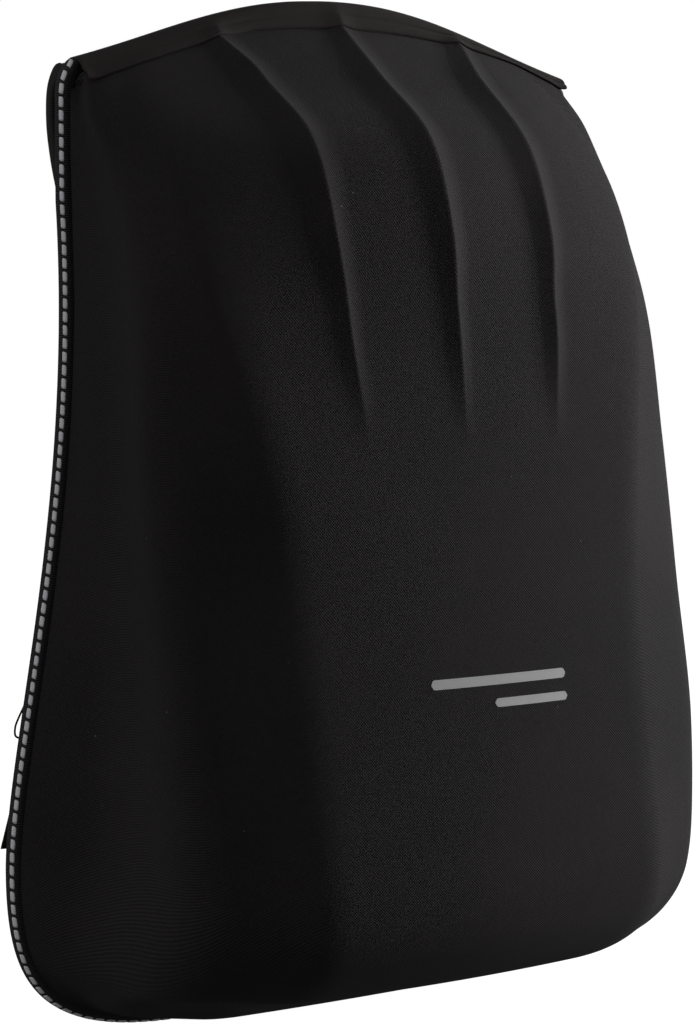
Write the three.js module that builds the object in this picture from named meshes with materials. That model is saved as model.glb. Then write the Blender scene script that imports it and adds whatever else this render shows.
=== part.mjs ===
// A moulded hard shell backpack with a taped seam, a soft collar over its mouth and two padded straps.
// Millimetres. +Z is up, the shell's front looks along -Y and the straps lie on the +Y side.
import * as THREE from 'three';

// Driving sizes of the bag
const HEIGHT = 497;
const HALF_WIDTH = 176.5;
const SHELL_DEPTH = 158;
const CLEARANCE = 0.3;

// The shell's wall, the tape over its seam, and the collar above it
const SHELL_WALL = 3;
const TAPE_WIDTH = 8;
const TAPE_DEPTH = 9;
const SHELL_INSET = 4.5;
const COLLAR_WALL = 3;
const COLLAR_DROP = 0.6;
const COLLAR_BULGE = 2;
const COLLAR_GAP = 1.2;
const COLLAR_HALF_SPAN = 139;
const COLLAR_STEPS = 56;

// The raised ribs on the upper front
const RIB_HEIGHT = 6.5;
const RIB_HALF_WIDTH = 14;
const RIB_CLEAR = 1.15;

// The padded back
const PANEL_THICKNESS = 18;
const PANEL_EDGE = 5;
const PANEL_INSET = 6;
const PANEL_ROUNDING = 22;

// The shoulder straps: their section, where they start, how far they fall, splay and arch
const STRAP_THICKNESS = 10;
const STRAP_WIDTH = 64;
const STRAP_END_WIDTH = 34;
const STRAP_END_THICKNESS = 5;
const STRAP_SPACING = 94;
const STRAP_FROM_TOP = 47;
const STRAP_TOP = HEIGHT - STRAP_FROM_TOP;
const STRAP_DROP = 235;
const STRAP_SPLAY = 25;
const STRAP_ARCH = 23;
const STRAP_ROOT_LIFT = 1.5;

// The webbing, the buckles on it, and where its anchors and loose ends are
const WEBBING_WIDTH = 25;
const WEBBING_THICKNESS = 2;
const BUCKLE_WIDTH = 36;
const BUCKLE_LENGTH = 30;
const BUCKLE_THICKNESS = 5;
const BUCKLE_SLOT = 5;
const BUCKLE_BAR = 5;
const BUCKLE_PLAY = 1;
const ANCHOR_HEIGHT = 66;
const ANCHOR_INSET = 33;
const TAIL_HEIGHT = 88;
const TAIL_INSET = 23;

// The haul loop at the top of the back
const HAUL_LENGTH = 104;
const HAUL_RISE = 26;
const HAUL_FROM_TOP = 61;
const HAUL_HEIGHT = HEIGHT - HAUL_FROM_TOP;

// The thin cord that loops out behind the seam
const CORD_DIAMETER = 1;

// How finely the pieces are faceted
const ROWS = 28;
const TAPE_STEPS = 40;
const TAPE_SIDES = 10;
const PANEL_STEPS = 32;
const STRAP_STEPS = 26;
const STRAP_SIDES = 12;
const HAUL_STEPS = 16;
const CORD_STEPS = 24;
const CORD_SIDES = 8;

// How round the sections are: 1 is round and 0 is square
const TAPE_SQUARENESS = 0.6;
const STRAP_SQUARENESS = 0.5;

// The wide side of the straps and of the haul loop lies along these
const ACROSS = new THREE.Vector3(1, 0, 0);
const UPWARDS = new THREE.Vector3(0, 0, 1);

// The seam's outline, right half: shares of the half width and the height, from the base's middle to the top
const OUTLINE = new THREE.Path();
OUTLINE.moveTo(0, 0);
OUTLINE.lineTo(0.46 * HALF_WIDTH, 0);
OUTLINE.bezierCurveTo(
  0.898 * HALF_WIDTH, 0, HALF_WIDTH, 0.051 * HEIGHT, HALF_WIDTH, 0.165 * HEIGHT,
);
OUTLINE.bezierCurveTo(
  HALF_WIDTH, 0.285 * HEIGHT, 0.786 * HALF_WIDTH, 0.506 * HEIGHT, 0.833 * HALF_WIDTH, 0.8 * HEIGHT,
);
OUTLINE.lineTo(0.833 * HALF_WIDTH, 0.897 * HEIGHT);
OUTLINE.quadraticCurveTo(0.833 * HALF_WIDTH, 0.924 * HEIGHT, 0.786 * HALF_WIDTH, 0.935 * HEIGHT);
OUTLINE.bezierCurveTo(0.489 * HALF_WIDTH, 0.964 * HEIGHT, 0.306 * HALF_WIDTH, HEIGHT, 0, HEIGHT);

// Stations of the shell's character lines, from the seam at the base to the top edge.
// across, depth and rise are shares of HALF_WIDTH, SHELL_DEPTH and HEIGHT.
const CENTRE = [
  { depth: 0.04, rise: 0.007 },
  { depth: 0.09, rise: 0 },
  { depth: 0.401, rise: 0.043 },
  { depth: 0.745, rise: 0.066 },
  { depth: 0.957, rise: 0.112 },
  { depth: 1, rise: 0.163 },
  { depth: 0.927, rise: 0.302 },
  { depth: 0.859, rise: 0.43 },
  { depth: 0.793, rise: 0.565 },
  { depth: 0.722, rise: 0.694 },
  { depth: 0.678, rise: 0.775 },
  { depth: 0.567, rise: 0.855 },
  { depth: 0.296, rise: 0.918 },
  { depth: 0.076, rise: 0.974 },
];
const CREASE = [
  { across: 0.43, depth: 0.04, rise: 0.007, softness: 0.3 },
  { across: 0.42, depth: 0.088, rise: 0.001, softness: 0.3 },
  { across: 0.451, depth: 0.391, rise: 0.044, softness: 0.3 },
  { across: 0.488, depth: 0.725, rise: 0.068, softness: 0.26 },
  { across: 0.513, depth: 0.917, rise: 0.114, softness: 0.2 },
  { across: 0.514, depth: 0.965, rise: 0.158, softness: 0.16 },
  { across: 0.516, depth: 0.895, rise: 0.294, softness: 0.16 },
  { across: 0.528, depth: 0.82, rise: 0.428, softness: 0.16 },
  { across: 0.574, depth: 0.756, rise: 0.565, softness: 0.18 },
  { across: 0.654, depth: 0.646, rise: 0.694, softness: 0.26 },
  { across: 0.692, depth: 0.536, rise: 0.775, softness: 0.34 },
  { across: 0.686, depth: 0.404, rise: 0.845, softness: 0.4 },
  { across: 0.639, depth: 0.221, rise: 0.905, softness: 0.4 },
  { across: 0.579, depth: 0.07, rise: 0.95, softness: 0.4 },
];
const SHOULDER = [
  { across: 0.68, depth: 0.04, rise: 0.016 },
  { across: 0.72, depth: 0.085, rise: 0.019 },
  { across: 0.775, depth: 0.356, rise: 0.052 },
  { across: 0.815, depth: 0.556, rise: 0.078 },
  { across: 0.832, depth: 0.688, rise: 0.126 },
  { across: 0.83, depth: 0.741, rise: 0.168 },
  { across: 0.849, depth: 0.729, rise: 0.294 },
  { across: 0.85, depth: 0.644, rise: 0.428 },
  { across: 0.85, depth: 0.551, rise: 0.565 },
  { across: 0.827, depth: 0.475, rise: 0.694 },
  { across: 0.803, depth: 0.381, rise: 0.77 },
  { across: 0.8, depth: 0.273, rise: 0.835 },
  { across: 0.812, depth: 0.16, rise: 0.885 },
  { across: 0.775, depth: 0.075, rise: 0.923 },
];
const VALLEY = [
  { across: 0.84, depth: 0.04, rise: 0.034 },
  { across: 0.858, depth: 0.08, rise: 0.054 },
  { across: 0.868, depth: 0.19, rise: 0.08 },
  { across: 0.862, depth: 0.235, rise: 0.115 },
  { across: 0.84, depth: 0.26, rise: 0.16 },
  { across: 0.815, depth: 0.275, rise: 0.212 },
  { across: 0.79, depth: 0.28, rise: 0.302 },
  { across: 0.785, depth: 0.28, rise: 0.428 },
  { across: 0.778, depth: 0.272, rise: 0.565 },
  { across: 0.775, depth: 0.235, rise: 0.694 },
  { across: 0.778, depth: 0.19, rise: 0.77 },
  { across: 0.785, depth: 0.13, rise: 0.835 },
  { across: 0.79, depth: 0.08, rise: 0.88 },
  { across: 0.78, depth: 0.045, rise: 0.908 },
];

// Heights at which the shell's outer line meets the seam, station by station, as shares of HEIGHT
const RIM_RISES = [
  0.05, 0.068, 0.09, 0.12, 0.165, 0.212, 0.302, 0.428, 0.565, 0.694, 0.77, 0.835, 0.88, 0.905,
];

// The ribs by station: the side ribs' place as a share of HALF_WIDTH, and shares of a rib's height and width
const RIBS = [
  { across: 0.3, height: 0, width: 0.5 },
  { across: 0.3, height: 0, width: 0.5 },
  { across: 0.3, height: 0, width: 0.5 },
  { across: 0.3, height: 0, width: 0.5 },
  { across: 0.3, height: 0, width: 0.5 },
  { across: 0.3, height: 0, width: 0.5 },
  { across: 0.3, height: 0, width: 0.5 },
  { across: 0.3, height: 0, width: 0.5 },
  { across: 0.3, height: 0.15, width: 0.5 },
  { across: 0.328, height: 0.7, width: 0.7 },
  { across: 0.343, height: 0.95, width: 0.95 },
  { across: 0.344, height: 1, width: 1 },
  { across: 0.36, height: 1, width: 1 },
  { across: 0.398, height: 0.5, width: 0.75 },
];

// The collar from its foot to its head: how far each line of it stands off, as a share of its bulge
const COLLAR_FOLDS = [
  { share: 0, stand: 0 },
  { share: 0.14, stand: 0.8 },
  { share: 0.34, stand: 1 },
  { share: 0.48, stand: 0.1 },
  { share: 0.62, stand: 0.7 },
  { share: 0.84, stand: 0.6 },
  { share: 1, stand: 0 },
];

// The straps' route below their root: shares of the splay, the arch and the drop
const STRAP_ROUTE = [
  { splay: 0, arch: 0.12, drop: -0.008 },
  { splay: 0, arch: 0.58, drop: -0.048 },
  { splay: 0, arch: 0.92, drop: -0.018 },
  { splay: 0, arch: 1, drop: 0.05 },
  { splay: -0.02, arch: 0.88, drop: 0.125 },
  { splay: -0.06, arch: 0.62, drop: 0.21 },
  { splay: -0.12, arch: 0.34, drop: 0.31 },
  { splay: -0.05, arch: 0.13, drop: 0.415 },
  { splay: 0.1, arch: 0.03, drop: 0.53 },
  { splay: 0.5, arch: 0.005, drop: 0.71 },
  { splay: 0.9, arch: 0, drop: 0.86 },
  { splay: 1, arch: 0, drop: 0.94 },
  { splay: 1, arch: 0, drop: 1 },
];
const STRAP_TAPER_FROM = 0.55;

// The haul loop's route from left to right: shares of half its length and of its rise
const HAUL_ROUTE = [
  { across: -1, rise: 0 },
  { across: -0.86, rise: 0.03 },
  { across: -0.7, rise: 0.26 },
  { across: -0.44, rise: 0.76 },
  { across: 0, rise: 1 },
  { across: 0.44, rise: 0.76 },
  { across: 0.7, rise: 0.26 },
  { across: 0.86, rise: 0.03 },
  { across: 1, rise: 0 },
];

// The thin cord's chosen points, from its upper end, out round its loop and back to the seam
const CORD_ROUTE = [
  new THREE.Vector3(-160.4, 5.3, 172),
  new THREE.Vector3(-161.1, 5.3, 169.3),
  new THREE.Vector3(-161.9, 5.3, 166.6),
  new THREE.Vector3(-162.9, 5.4, 164),
  new THREE.Vector3(-164.1, 5.4, 161.4),
  new THREE.Vector3(-165.4, 5.4, 158.9),
  new THREE.Vector3(-166.7, 5.5, 156.5),
  new THREE.Vector3(-167.9, 5.5, 154.1),
  new THREE.Vector3(-168.8, 5.6, 152),
  new THREE.Vector3(-169.2, 5.6, 150.1),
  new THREE.Vector3(-169.3, 5.6, 148.2),
  new THREE.Vector3(-169, 5.6, 146.9),
  new THREE.Vector3(-168, 5.6, 146),
  new THREE.Vector3(-166.8, 5.5, 145.7),
  new THREE.Vector3(-165.6, 5.5, 146),
  new THREE.Vector3(-164.6, 5.4, 146.9),
  new THREE.Vector3(-164.3, 5.4, 148.2),
  new THREE.Vector3(-164.3, 5.3, 149.3),
];

// Shares of the way across a rounded corner between two panels, how soft each corner is,
// and how far each way the centre line's slope is taken, as a share of its stations
const CORNER_STEPS = [0, 0.5, 1];
const SHOULDER_SOFTNESS = 0.34;
const VALLEY_SOFTNESS = 0.36;
const SLOPE_REACH = 0.01;

// Finishes
const FABRIC = { color: 0x1d1c1f, roughness: 0.9, metalness: 0 };
const TAPE = { color: 0x29282c, roughness: 0.85, metalness: 0 };
const SOFT_CLOTH = { color: 0x2d2a2a, roughness: 0.95, metalness: 0 };
const MESH_CLOTH = { color: 0x18181a, roughness: 1, metalness: 0 };
const WEBBING = { color: 0x1e1d1a, roughness: 0.9, metalness: 0 };
const PLASTIC = { color: 0x111113, roughness: 0.5, metalness: 0 };

// The shell's rim lies on the tape in this plane
const RIM_FRONT = TAPE_DEPTH / 2 + CLEARANCE;
const SEAM_TOLERANCE = 0.001;

// Searches along the outline: where its foot ends, where its top starts, and how close a share is found
const FOOT_TO = 0.1;
const TOP_FROM = 0.9;
const SHARE_TOLERANCE = 1e-9;

// The block inside the bag that all its walls face away from, as shares of the sizes
const CORE_HALF_WIDTH = 0.46;
const CORE_LOW = 0.17;
const CORE_HIGH = 0.88;
const CORE_DEPTH = 0.3;
const CORE_RISE = 0.45;

// The value of a smooth curve through the points, at a share of the way along their stations
function along(points, share) {
  const curve = new THREE.CatmullRomCurve3(points, false, 'centripetal');
  return curve.getPoint(share);
}

// One column of a station table, read between its rows
function column(rows, name, share) {
  const place = share * (rows.length - 1);
  const row = Math.min(Math.floor(place), rows.length - 2);
  const mix = THREE.MathUtils.smoothstep(place - row, 0, 1);
  return THREE.MathUtils.lerp(rows[row][name], rows[row + 1][name], mix);
}

// Points of the seam's outline, right half, moved inwards by an inset
function outlinePoint(share, inset) {
  const point = OUTLINE.getPointAt(share);
  const tangent = OUTLINE.getTangentAt(share);
  return new THREE.Vector2(point.x - tangent.y * inset, point.y + tangent.x * inset);
}

// The share of the outline, between two others, from which a test no longer holds, searched by halving
function shareWhere(low, high, isBefore) {
  let [from, to] = [low, high];
  while (to - from > SHARE_TOLERANCE) {
    const middle = (from + to) / 2;
    if (isBefore(OUTLINE.getPointAt(middle))) {
      from = middle;
    } else {
      to = middle;
    }
  }
  return (from + to) / 2;
}

// The shares at which the outline passes a height, and a half width on its top or on its foot stretch
function outlineShareAt(height) {
  return shareWhere(0, 1, (point) => point.y < height);
}

function topShareAt(halfWidth) {
  return shareWhere(outlineShareAt(TOP_FROM * HEIGHT), 1, (point) => point.x > halfWidth);
}

function footShareAt(halfWidth) {
  return shareWhere(0, outlineShareAt(FOOT_TO * HEIGHT), (point) => point.x < halfWidth);
}

// A closed solid from rings of points, each ring a closed loop. Its end rings are closed by a ladder of quads
function loft(rings, isRing = false) {
  const size = rings[0].length;
  const positions = rings.flat().flatMap((point) => [point.x, point.y, point.z]);
  const faces = [];
  const bands = isRing ? rings.length : rings.length - 1;
  for (let band = 0; band < bands; band += 1) {
    const next = (band + 1) % rings.length;
    for (let side = 0; side < size; side += 1) {
      const other = (side + 1) % size;
      const a = band * size + side;
      const b = band * size + other;
      const c = next * size + other;
      const d = next * size + side;
      faces.push(a, b, c, a, c, d);
    }
  }
  if (!isRing) {
    const last = (rings.length - 1) * size;
    for (let rung = 0; rung < size / 2 - 1; rung += 1) {
      const far = size - 1 - rung;
      faces.push(rung, far, far - 1, rung, far - 1, rung + 1);
      faces.push(last + rung, last + far - 1, last + far, last + rung, last + rung + 1, last + far - 1);
    }
  }
  return facedOut(positions, faces);
}

// A geometry with its faces turned outwards, told by the sign of the volume that they enclose
function facedOut(positions, faces) {
  let volume = 0;
  const corner = (index) => new THREE.Vector3().fromArray(positions, 3 * index);
  for (let face = 0; face < faces.length; face += 3) {
    const [a, b, c] = [corner(faces[face]), corner(faces[face + 1]), corner(faces[face + 2])];
    volume += a.dot(b.cross(c));
  }
  if (volume < 0) {
    faces.reverse();
  }
  const geometry = new THREE.BufferGeometry();
  geometry.setAttribute('position', new THREE.Float32BufferAttribute(positions, 3));
  geometry.setIndex(faces);
  geometry.computeVertexNormals();
  return geometry;
}

// The way out of the bag at a point on the seam, in the seam's plane: away from the outline's middle block
function outOfSeam(point) {
  const middle = new THREE.Vector3(
    THREE.MathUtils.clamp(point.x, -CORE_HALF_WIDTH * HALF_WIDTH, CORE_HALF_WIDTH * HALF_WIDTH),
    point.y,
    THREE.MathUtils.clamp(point.z, CORE_LOW * HEIGHT, CORE_HIGH * HEIGHT),
  );
  return point.clone().sub(middle).normalize();
}

// Vertex normals of a grid of points, turned to the side that the guide function gives
function gridNormals(grid, outwards) {
  return grid.map((row, i) => row.map((point, j) => {
    if (Math.abs(point.y + RIM_FRONT) < SEAM_TOLERANCE) {
      return outOfSeam(point);
    }
    const up = grid[Math.min(i + 1, grid.length - 1)][j];
    const down = grid[Math.max(i - 1, 0)][j];
    const right = row[Math.min(j + 1, row.length - 1)];
    const left = row[Math.max(j - 1, 0)];
    const normal = up.clone().sub(down).cross(right.clone().sub(left)).normalize();
    return normal.dot(outwards(point)) < 0 ? normal.negate() : normal;
  }));
}

// A wall of even thickness on the inner side of a grid of outer points, kept in front of the seam tape
function skin(grid, wall, outwards) {
  const normals = gridNormals(grid, outwards);
  const rings = grid.map((row, i) => {
    const inner = row.map((point, j) => point.clone().addScaledVector(normals[i][j], -wall));
    inner.forEach((point) => point.setY(Math.min(point.y, -RIM_FRONT)));
    return [...row, ...inner.reverse()];
  });
  return loft(rings);
}

function mesh(name, geometry, finish) {
  const solid = new THREE.Mesh(geometry, new THREE.MeshStandardMaterial(finish));
  solid.name = name;
  return solid;
}

// A station table's rows as points of the right half
function lineStations(rows) {
  return rows.map((row) => new THREE.Vector3(
    (row.across ?? 0) * HALF_WIDTH, -row.depth * SHELL_DEPTH, row.rise * HEIGHT,
  ));
}

const rimStations = RIM_RISES.map((rise) => {
  const point = outlinePoint(outlineShareAt(rise * HEIGHT), SHELL_INSET);
  return new THREE.Vector3(point.x, -RIM_FRONT, point.y);
});
const LINES = {
  centre: lineStations(CENTRE),
  crease: lineStations(CREASE),
  shoulder: lineStations(SHOULDER),
  valley: lineStations(VALLEY),
  rim: rimStations,
};
for (const name of ['centre', 'crease', 'shoulder', 'valley']) {
  const [foot] = LINES[name];
  const share = footShareAt(foot.x);
  const point = outlinePoint(share, SHELL_INSET);
  foot.set(foot.x, -RIM_FRONT, point.y);
}

// Points of a rounded corner between two straight panels
function corner(before, at, after, softness) {
  const start = at.clone().lerp(before, softness);
  const end = at.clone().lerp(after, softness);
  return CORNER_STEPS.map((step) => {
    const first = start.clone().lerp(at, step);
    return first.lerp(at.clone().lerp(end, step), step);
  });
}

// Half widths at which the front panel is cut: the middle of each rib, its flanks and the plain panel between
function frontCuts(ribPlace, ribHalf, edge) {
  return [
    0, 0.5 * ribHalf, ribHalf, 0.5 * ribPlace, ribPlace - ribHalf, ribPlace - 0.5 * ribHalf,
    ribPlace, ribPlace + 0.5 * ribHalf, ribPlace + ribHalf, 0.5 * (ribPlace + ribHalf + edge), edge,
  ];
}

// How far the nearest rib stands off the panel, as a share of its height
function ribProfile(x, ribPlace, ribHalf) {
  const reach = Math.min(Math.abs(x), Math.abs(x - ribPlace)) / ribHalf;
  return reach >= 1 ? 0 : 0.5 * (1 - reach) + 0.25 * (1 + Math.cos(Math.PI * reach));
}

// The right half of the shell's section at one share of the stations, from the middle out to the rim
function halfSection(share) {
  const centre = along(LINES.centre, share);
  const crease = along(LINES.crease, share);
  const shoulder = along(LINES.shoulder, share);
  const valley = along(LINES.valley, share);
  const rim = along(LINES.rim, share);
  const ribHalf = RIB_HALF_WIDTH * column(RIBS, 'width', share);
  const ribPlace = HALF_WIDTH * column(RIBS, 'across', share);
  const roundingRoom = 1 - (ribPlace + RIB_CLEAR * ribHalf) / crease.x;
  const softness = Math.min(column(CREASE, 'softness', share), roundingRoom);
  const ribHeight = RIB_HEIGHT * column(RIBS, 'height', share);
  const panel = (x) => crease.clone().lerp(centre, 1 - (x / crease.x) ** 2).setX(x);
  const edge = crease.x * (1 - softness);
  const uphill = along(LINES.centre, Math.min(share + SLOPE_REACH, 1));
  uphill.sub(along(LINES.centre, Math.max(share - SLOPE_REACH, 0)));
  const outwards = new THREE.Vector3(0, -uphill.z, uphill.y).normalize();
  const front = frontCuts(ribPlace, ribHalf, edge).map((x) => (
    panel(x).addScaledVector(outwards, ribHeight * ribProfile(x, ribPlace, ribHalf))
  ));
  const inner = panel(edge);
  const innerGuide = crease.clone().add(inner.clone().sub(crease).divideScalar(softness));
  return [
    ...front.slice(0, -1),
    ...corner(innerGuide, crease, shoulder, softness),
    ...corner(crease, shoulder, valley, SHOULDER_SOFTNESS),
    ...corner(shoulder, valley, rim, VALLEY_SOFTNESS),
    rim,
  ];
}

function mirrored(point) {
  return new THREE.Vector3(-point.x, point.y, point.z);
}

// A whole section, from the left rim to the right rim
function wholeSection(share) {
  const half = halfSection(share);
  const left = half.slice(1).reverse().map(mirrored);
  return [...left, ...half];
}

// A direction that points out of the shell at a point of its surface
function outOfShell(point) {
  return new THREE.Vector3(point.x, point.y + CORE_DEPTH * SHELL_DEPTH, point.z - CORE_RISE * HEIGHT);
}

// The whole seam outline as a closed loop of pairs, right half then left half
function outlineLoop(steps, place) {
  const right = Array.from({ length: steps + 1 }, (_, step) => place(step / steps));
  const left = right.slice(1, -1).reverse().map((point) => new THREE.Vector2(-point.x, point.y));
  return [...right, ...left];
}

// The moulded shell: an open tray with three ribs on its upper front, open at the back and along its top
function shell() {
  const rows = Array.from({ length: ROWS + 1 }, (_, row) => wholeSection(row / ROWS));
  return mesh('shell', skin(rows, SHELL_WALL, outOfShell), FABRIC);
}

// The ribbed tape folded round the seam, all the way round
function seamTape() {
  const loops = Array.from({ length: TAPE_SIDES }, (_, side) => {
    const angle = (2 * Math.PI * side) / TAPE_SIDES;
    const inset = 0.5 * TAPE_WIDTH * (1 - squared(Math.cos(angle), TAPE_SQUARENESS));
    const depth = 0.5 * TAPE_DEPTH * squared(Math.sin(angle), TAPE_SQUARENESS);
    return outlineLoop(TAPE_STEPS, (share) => outlinePoint(share, inset))
      .map((point) => new THREE.Vector3(point.x, depth, point.y));
  });
  const rings = loops[0].map((_, step) => loops.map((loop) => loop[step]));
  return mesh('seam_tape', loft(rings, true), TAPE);
}

// The soft collar that closes the mouth, from the shell's top edge up to the tape, with one long fold
function collar() {
  const front = -(RIM_FRONT + COLLAR_WALL);
  const edge = wholeSection(1);
  const below = wholeSection(1 - 1 / ROWS);
  const feet = edge.map((point, index) => {
    const uphill = point.clone().sub(below[index]).normalize();
    const foot = point.clone().addScaledVector(uphill, COLLAR_GAP);
    return foot.setY(Math.min(foot.y, front));
  });
  const rings = Array.from({ length: COLLAR_STEPS + 1 }, (_, step) => {
    const x = THREE.MathUtils.lerp(-COLLAR_HALF_SPAN, COLLAR_HALF_SPAN, step / COLLAR_STEPS);
    const foot = between(feet, x);
    const top = outlinePoint(topShareAt(Math.abs(x)), COLLAR_DROP);
    const head = new THREE.Vector3(x, front, top.y);
    const outer = COLLAR_FOLDS.map(({ share, stand }) => {
      const place = foot.clone().lerp(head, share);
      return place.setY(place.y - stand * COLLAR_BULGE);
    });
    const inner = outer.map((point) => point.clone().setY(point.y + COLLAR_WALL));
    return [...outer, ...inner.reverse()];
  });
  return mesh('collar', loft(rings), SOFT_CLOTH);
}

// The point of a line of points at a half width, where the line runs from left to right
function between(points, x) {
  const next = Math.max(points.findIndex((point) => point.x > x), 1);
  const [from, to] = [points[next - 1], points[next]];
  return from.clone().lerp(to, (x - from.x) / (to.x - from.x)).setX(x);
}

// The padded back: a flat pad with round edges, as wide as the seam
const PANEL_BACK = RIM_FRONT + PANEL_THICKNESS;
function backPanel() {
  const loopAt = (inset, depth) => outlineLoop(PANEL_STEPS, (share) => {
    const point = OUTLINE.getPointAt(share);
    const narrowed = point.x * (1 - inset / HALF_WIDTH);
    return new THREE.Vector2(narrowed, HEIGHT / 2 + (point.y - HEIGHT / 2) * (1 - (2 * inset) / HEIGHT));
  }).map((point) => new THREE.Vector3(point.x, depth, point.y));
  const rounding = [0, 0.5, 1].map((share) => {
    const angle = (share * Math.PI) / 2;
    const rise = (PANEL_THICKNESS - PANEL_EDGE) * Math.sin(angle);
    return loopAt(PANEL_INSET + PANEL_ROUNDING * (1 - Math.cos(angle)), RIM_FRONT + PANEL_EDGE + rise);
  });
  return mesh('back_panel', loft([loopAt(PANEL_INSET, RIM_FRONT), ...rounding]), MESH_CLOTH);
}

// A signed power, which squares off a round section
function squared(value, squareness) {
  return Math.sign(value) * Math.abs(value) ** squareness;
}

// A band swept along a curve, with its wide side along an axis
function band(curve, steps, axis, widthAt, thicknessAt, sides, squareness) {
  const reach = squared(Math.cos(Math.PI / sides), squareness);
  const rings = Array.from({ length: steps + 1 }, (_, step) => {
    const share = step / steps;
    const centre = curve.getPoint(share);
    const tangent = curve.getTangent(share);
    const through = tangent.clone().cross(axis).normalize();
    return Array.from({ length: sides }, (__, side) => {
      const angle = (2 * Math.PI * (side + 0.5)) / sides;
      const wide = (0.5 * widthAt(share) * squared(Math.cos(angle), squareness)) / reach;
      const thick = (0.5 * thicknessAt(share) * squared(Math.sin(angle), squareness)) / reach;
      return centre.clone().addScaledVector(axis, wide).addScaledVector(through, thick);
    });
  });
  return loft(rings);
}

// A flat strip of webbing along a curve
function webbing(name, curve, steps, axis) {
  const geometry = band(curve, steps, axis, () => WEBBING_WIDTH, () => WEBBING_THICKNESS, 4, 1);
  return mesh(name, geometry, WEBBING);
}

// A padded shoulder strap: out of the top of the back, over in an arch and down along the back
function shoulderStrap(name, hand) {
  const lying = PANEL_BACK + CLEARANCE + STRAP_THICKNESS / 2;
  const root = new THREE.Vector3(hand * STRAP_SPACING, PANEL_BACK + CLEARANCE + STRAP_ROOT_LIFT, STRAP_TOP);
  const route = [root, ...STRAP_ROUTE.map((row) => new THREE.Vector3(
    hand * (STRAP_SPACING + row.splay * STRAP_SPLAY),
    lying + row.arch * STRAP_ARCH,
    STRAP_TOP - row.drop * STRAP_DROP,
  ))];
  const curve = new THREE.CatmullRomCurve3(route, false, 'centripetal');
  const taper = (share) => THREE.MathUtils.smoothstep(share, STRAP_TAPER_FROM, 1);
  const widthAt = (share) => THREE.MathUtils.lerp(STRAP_WIDTH, STRAP_END_WIDTH, taper(share));
  const thicknessAt = (share) => THREE.MathUtils.lerp(STRAP_THICKNESS, STRAP_END_THICKNESS, taper(share));
  const geometry = band(curve, STRAP_STEPS, ACROSS, widthAt, thicknessAt, STRAP_SIDES, STRAP_SQUARENESS);
  return mesh(name, geometry, MESH_CLOTH);
}

// The buckle's frame at the strap's lower end: a plate with two slots
const BUCKLE_TOP = STRAP_TOP - STRAP_DROP - 2 * CLEARANCE;
function buckle(name, hand) {
  const outline = (half, top, bottom) => [
    new THREE.Vector2(-half, bottom), new THREE.Vector2(half, bottom),
    new THREE.Vector2(half, top), new THREE.Vector2(-half, top),
  ];
  const frame = new THREE.Shape(outline(BUCKLE_WIDTH / 2, 0, -BUCKLE_LENGTH));
  const slotHalf = WEBBING_WIDTH / 2 + BUCKLE_PLAY;
  for (const slotTop of [-BUCKLE_BAR, BUCKLE_SLOT + BUCKLE_BAR - BUCKLE_LENGTH]) {
    frame.holes.push(new THREE.Path(outline(slotHalf, slotTop, slotTop - BUCKLE_SLOT)));
  }
  const settings = { depth: BUCKLE_THICKNESS, bevelEnabled: false };
  const plate = mesh(name, new THREE.ExtrudeGeometry(frame, settings), PLASTIC);
  const back = PANEL_BACK + CLEARANCE + BUCKLE_THICKNESS;
  plate.rotation.x = Math.PI / 2;
  plate.position.set(hand * (STRAP_SPACING + STRAP_SPLAY), back, BUCKLE_TOP);
  return plate;
}

// The webbing from the buckle down to the bag's lower corner
function lowerWebbing(name, hand) {
  const lying = PANEL_BACK + CLEARANCE + WEBBING_THICKNESS / 2;
  const top = BUCKLE_TOP - BUCKLE_LENGTH - CLEARANCE;
  const start = new THREE.Vector3(hand * (STRAP_SPACING + STRAP_SPLAY), lying, top);
  const end = new THREE.Vector3(hand * (HALF_WIDTH - ANCHOR_INSET), lying, ANCHOR_HEIGHT);
  return webbing(name, new THREE.LineCurve3(start, end), 1, ACROSS);
}

// The loose end of the webbing, which hangs from the buckle's back and ends beside the seam
function webbingTail(name, hand) {
  const behind = PANEL_BACK + 2 * CLEARANCE + BUCKLE_THICKNESS + WEBBING_THICKNESS / 2;
  const start = new THREE.Vector3(hand * (STRAP_SPACING + STRAP_SPLAY), behind, BUCKLE_TOP - BUCKLE_BAR);
  const end = new THREE.Vector3(hand * (HALF_WIDTH - TAIL_INSET), behind, TAIL_HEIGHT);
  return webbing(name, new THREE.LineCurve3(start, end), 1, ACROSS);
}

// The webbing loop to lift the bag by, sewn flat to the back at both ends
function haulLoop() {
  const lying = PANEL_BACK + CLEARANCE + WEBBING_THICKNESS / 2;
  const route = HAUL_ROUTE.map(({ across, rise }) => new THREE.Vector3(
    0.5 * across * HAUL_LENGTH, lying + rise * HAUL_RISE, HAUL_HEIGHT,
  ));
  return webbing('haul_loop', new THREE.CatmullRomCurve3(route, false, 'centripetal'), HAUL_STEPS, UPWARDS);
}

// The thin loop of cord that shows behind the seam, low on the left
function cordLoop() {
  const section = new THREE.Shape();
  section.absarc(0, 0, CORD_DIAMETER / 2, 0, 2 * Math.PI);
  const curve = new THREE.CatmullRomCurve3(CORD_ROUTE, false, 'centripetal');
  const settings = { steps: CORD_STEPS, extrudePath: curve, curveSegments: CORD_SIDES / 2 };
  return mesh('cord_loop', new THREE.ExtrudeGeometry(section, settings), WEBBING);
}

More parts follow.
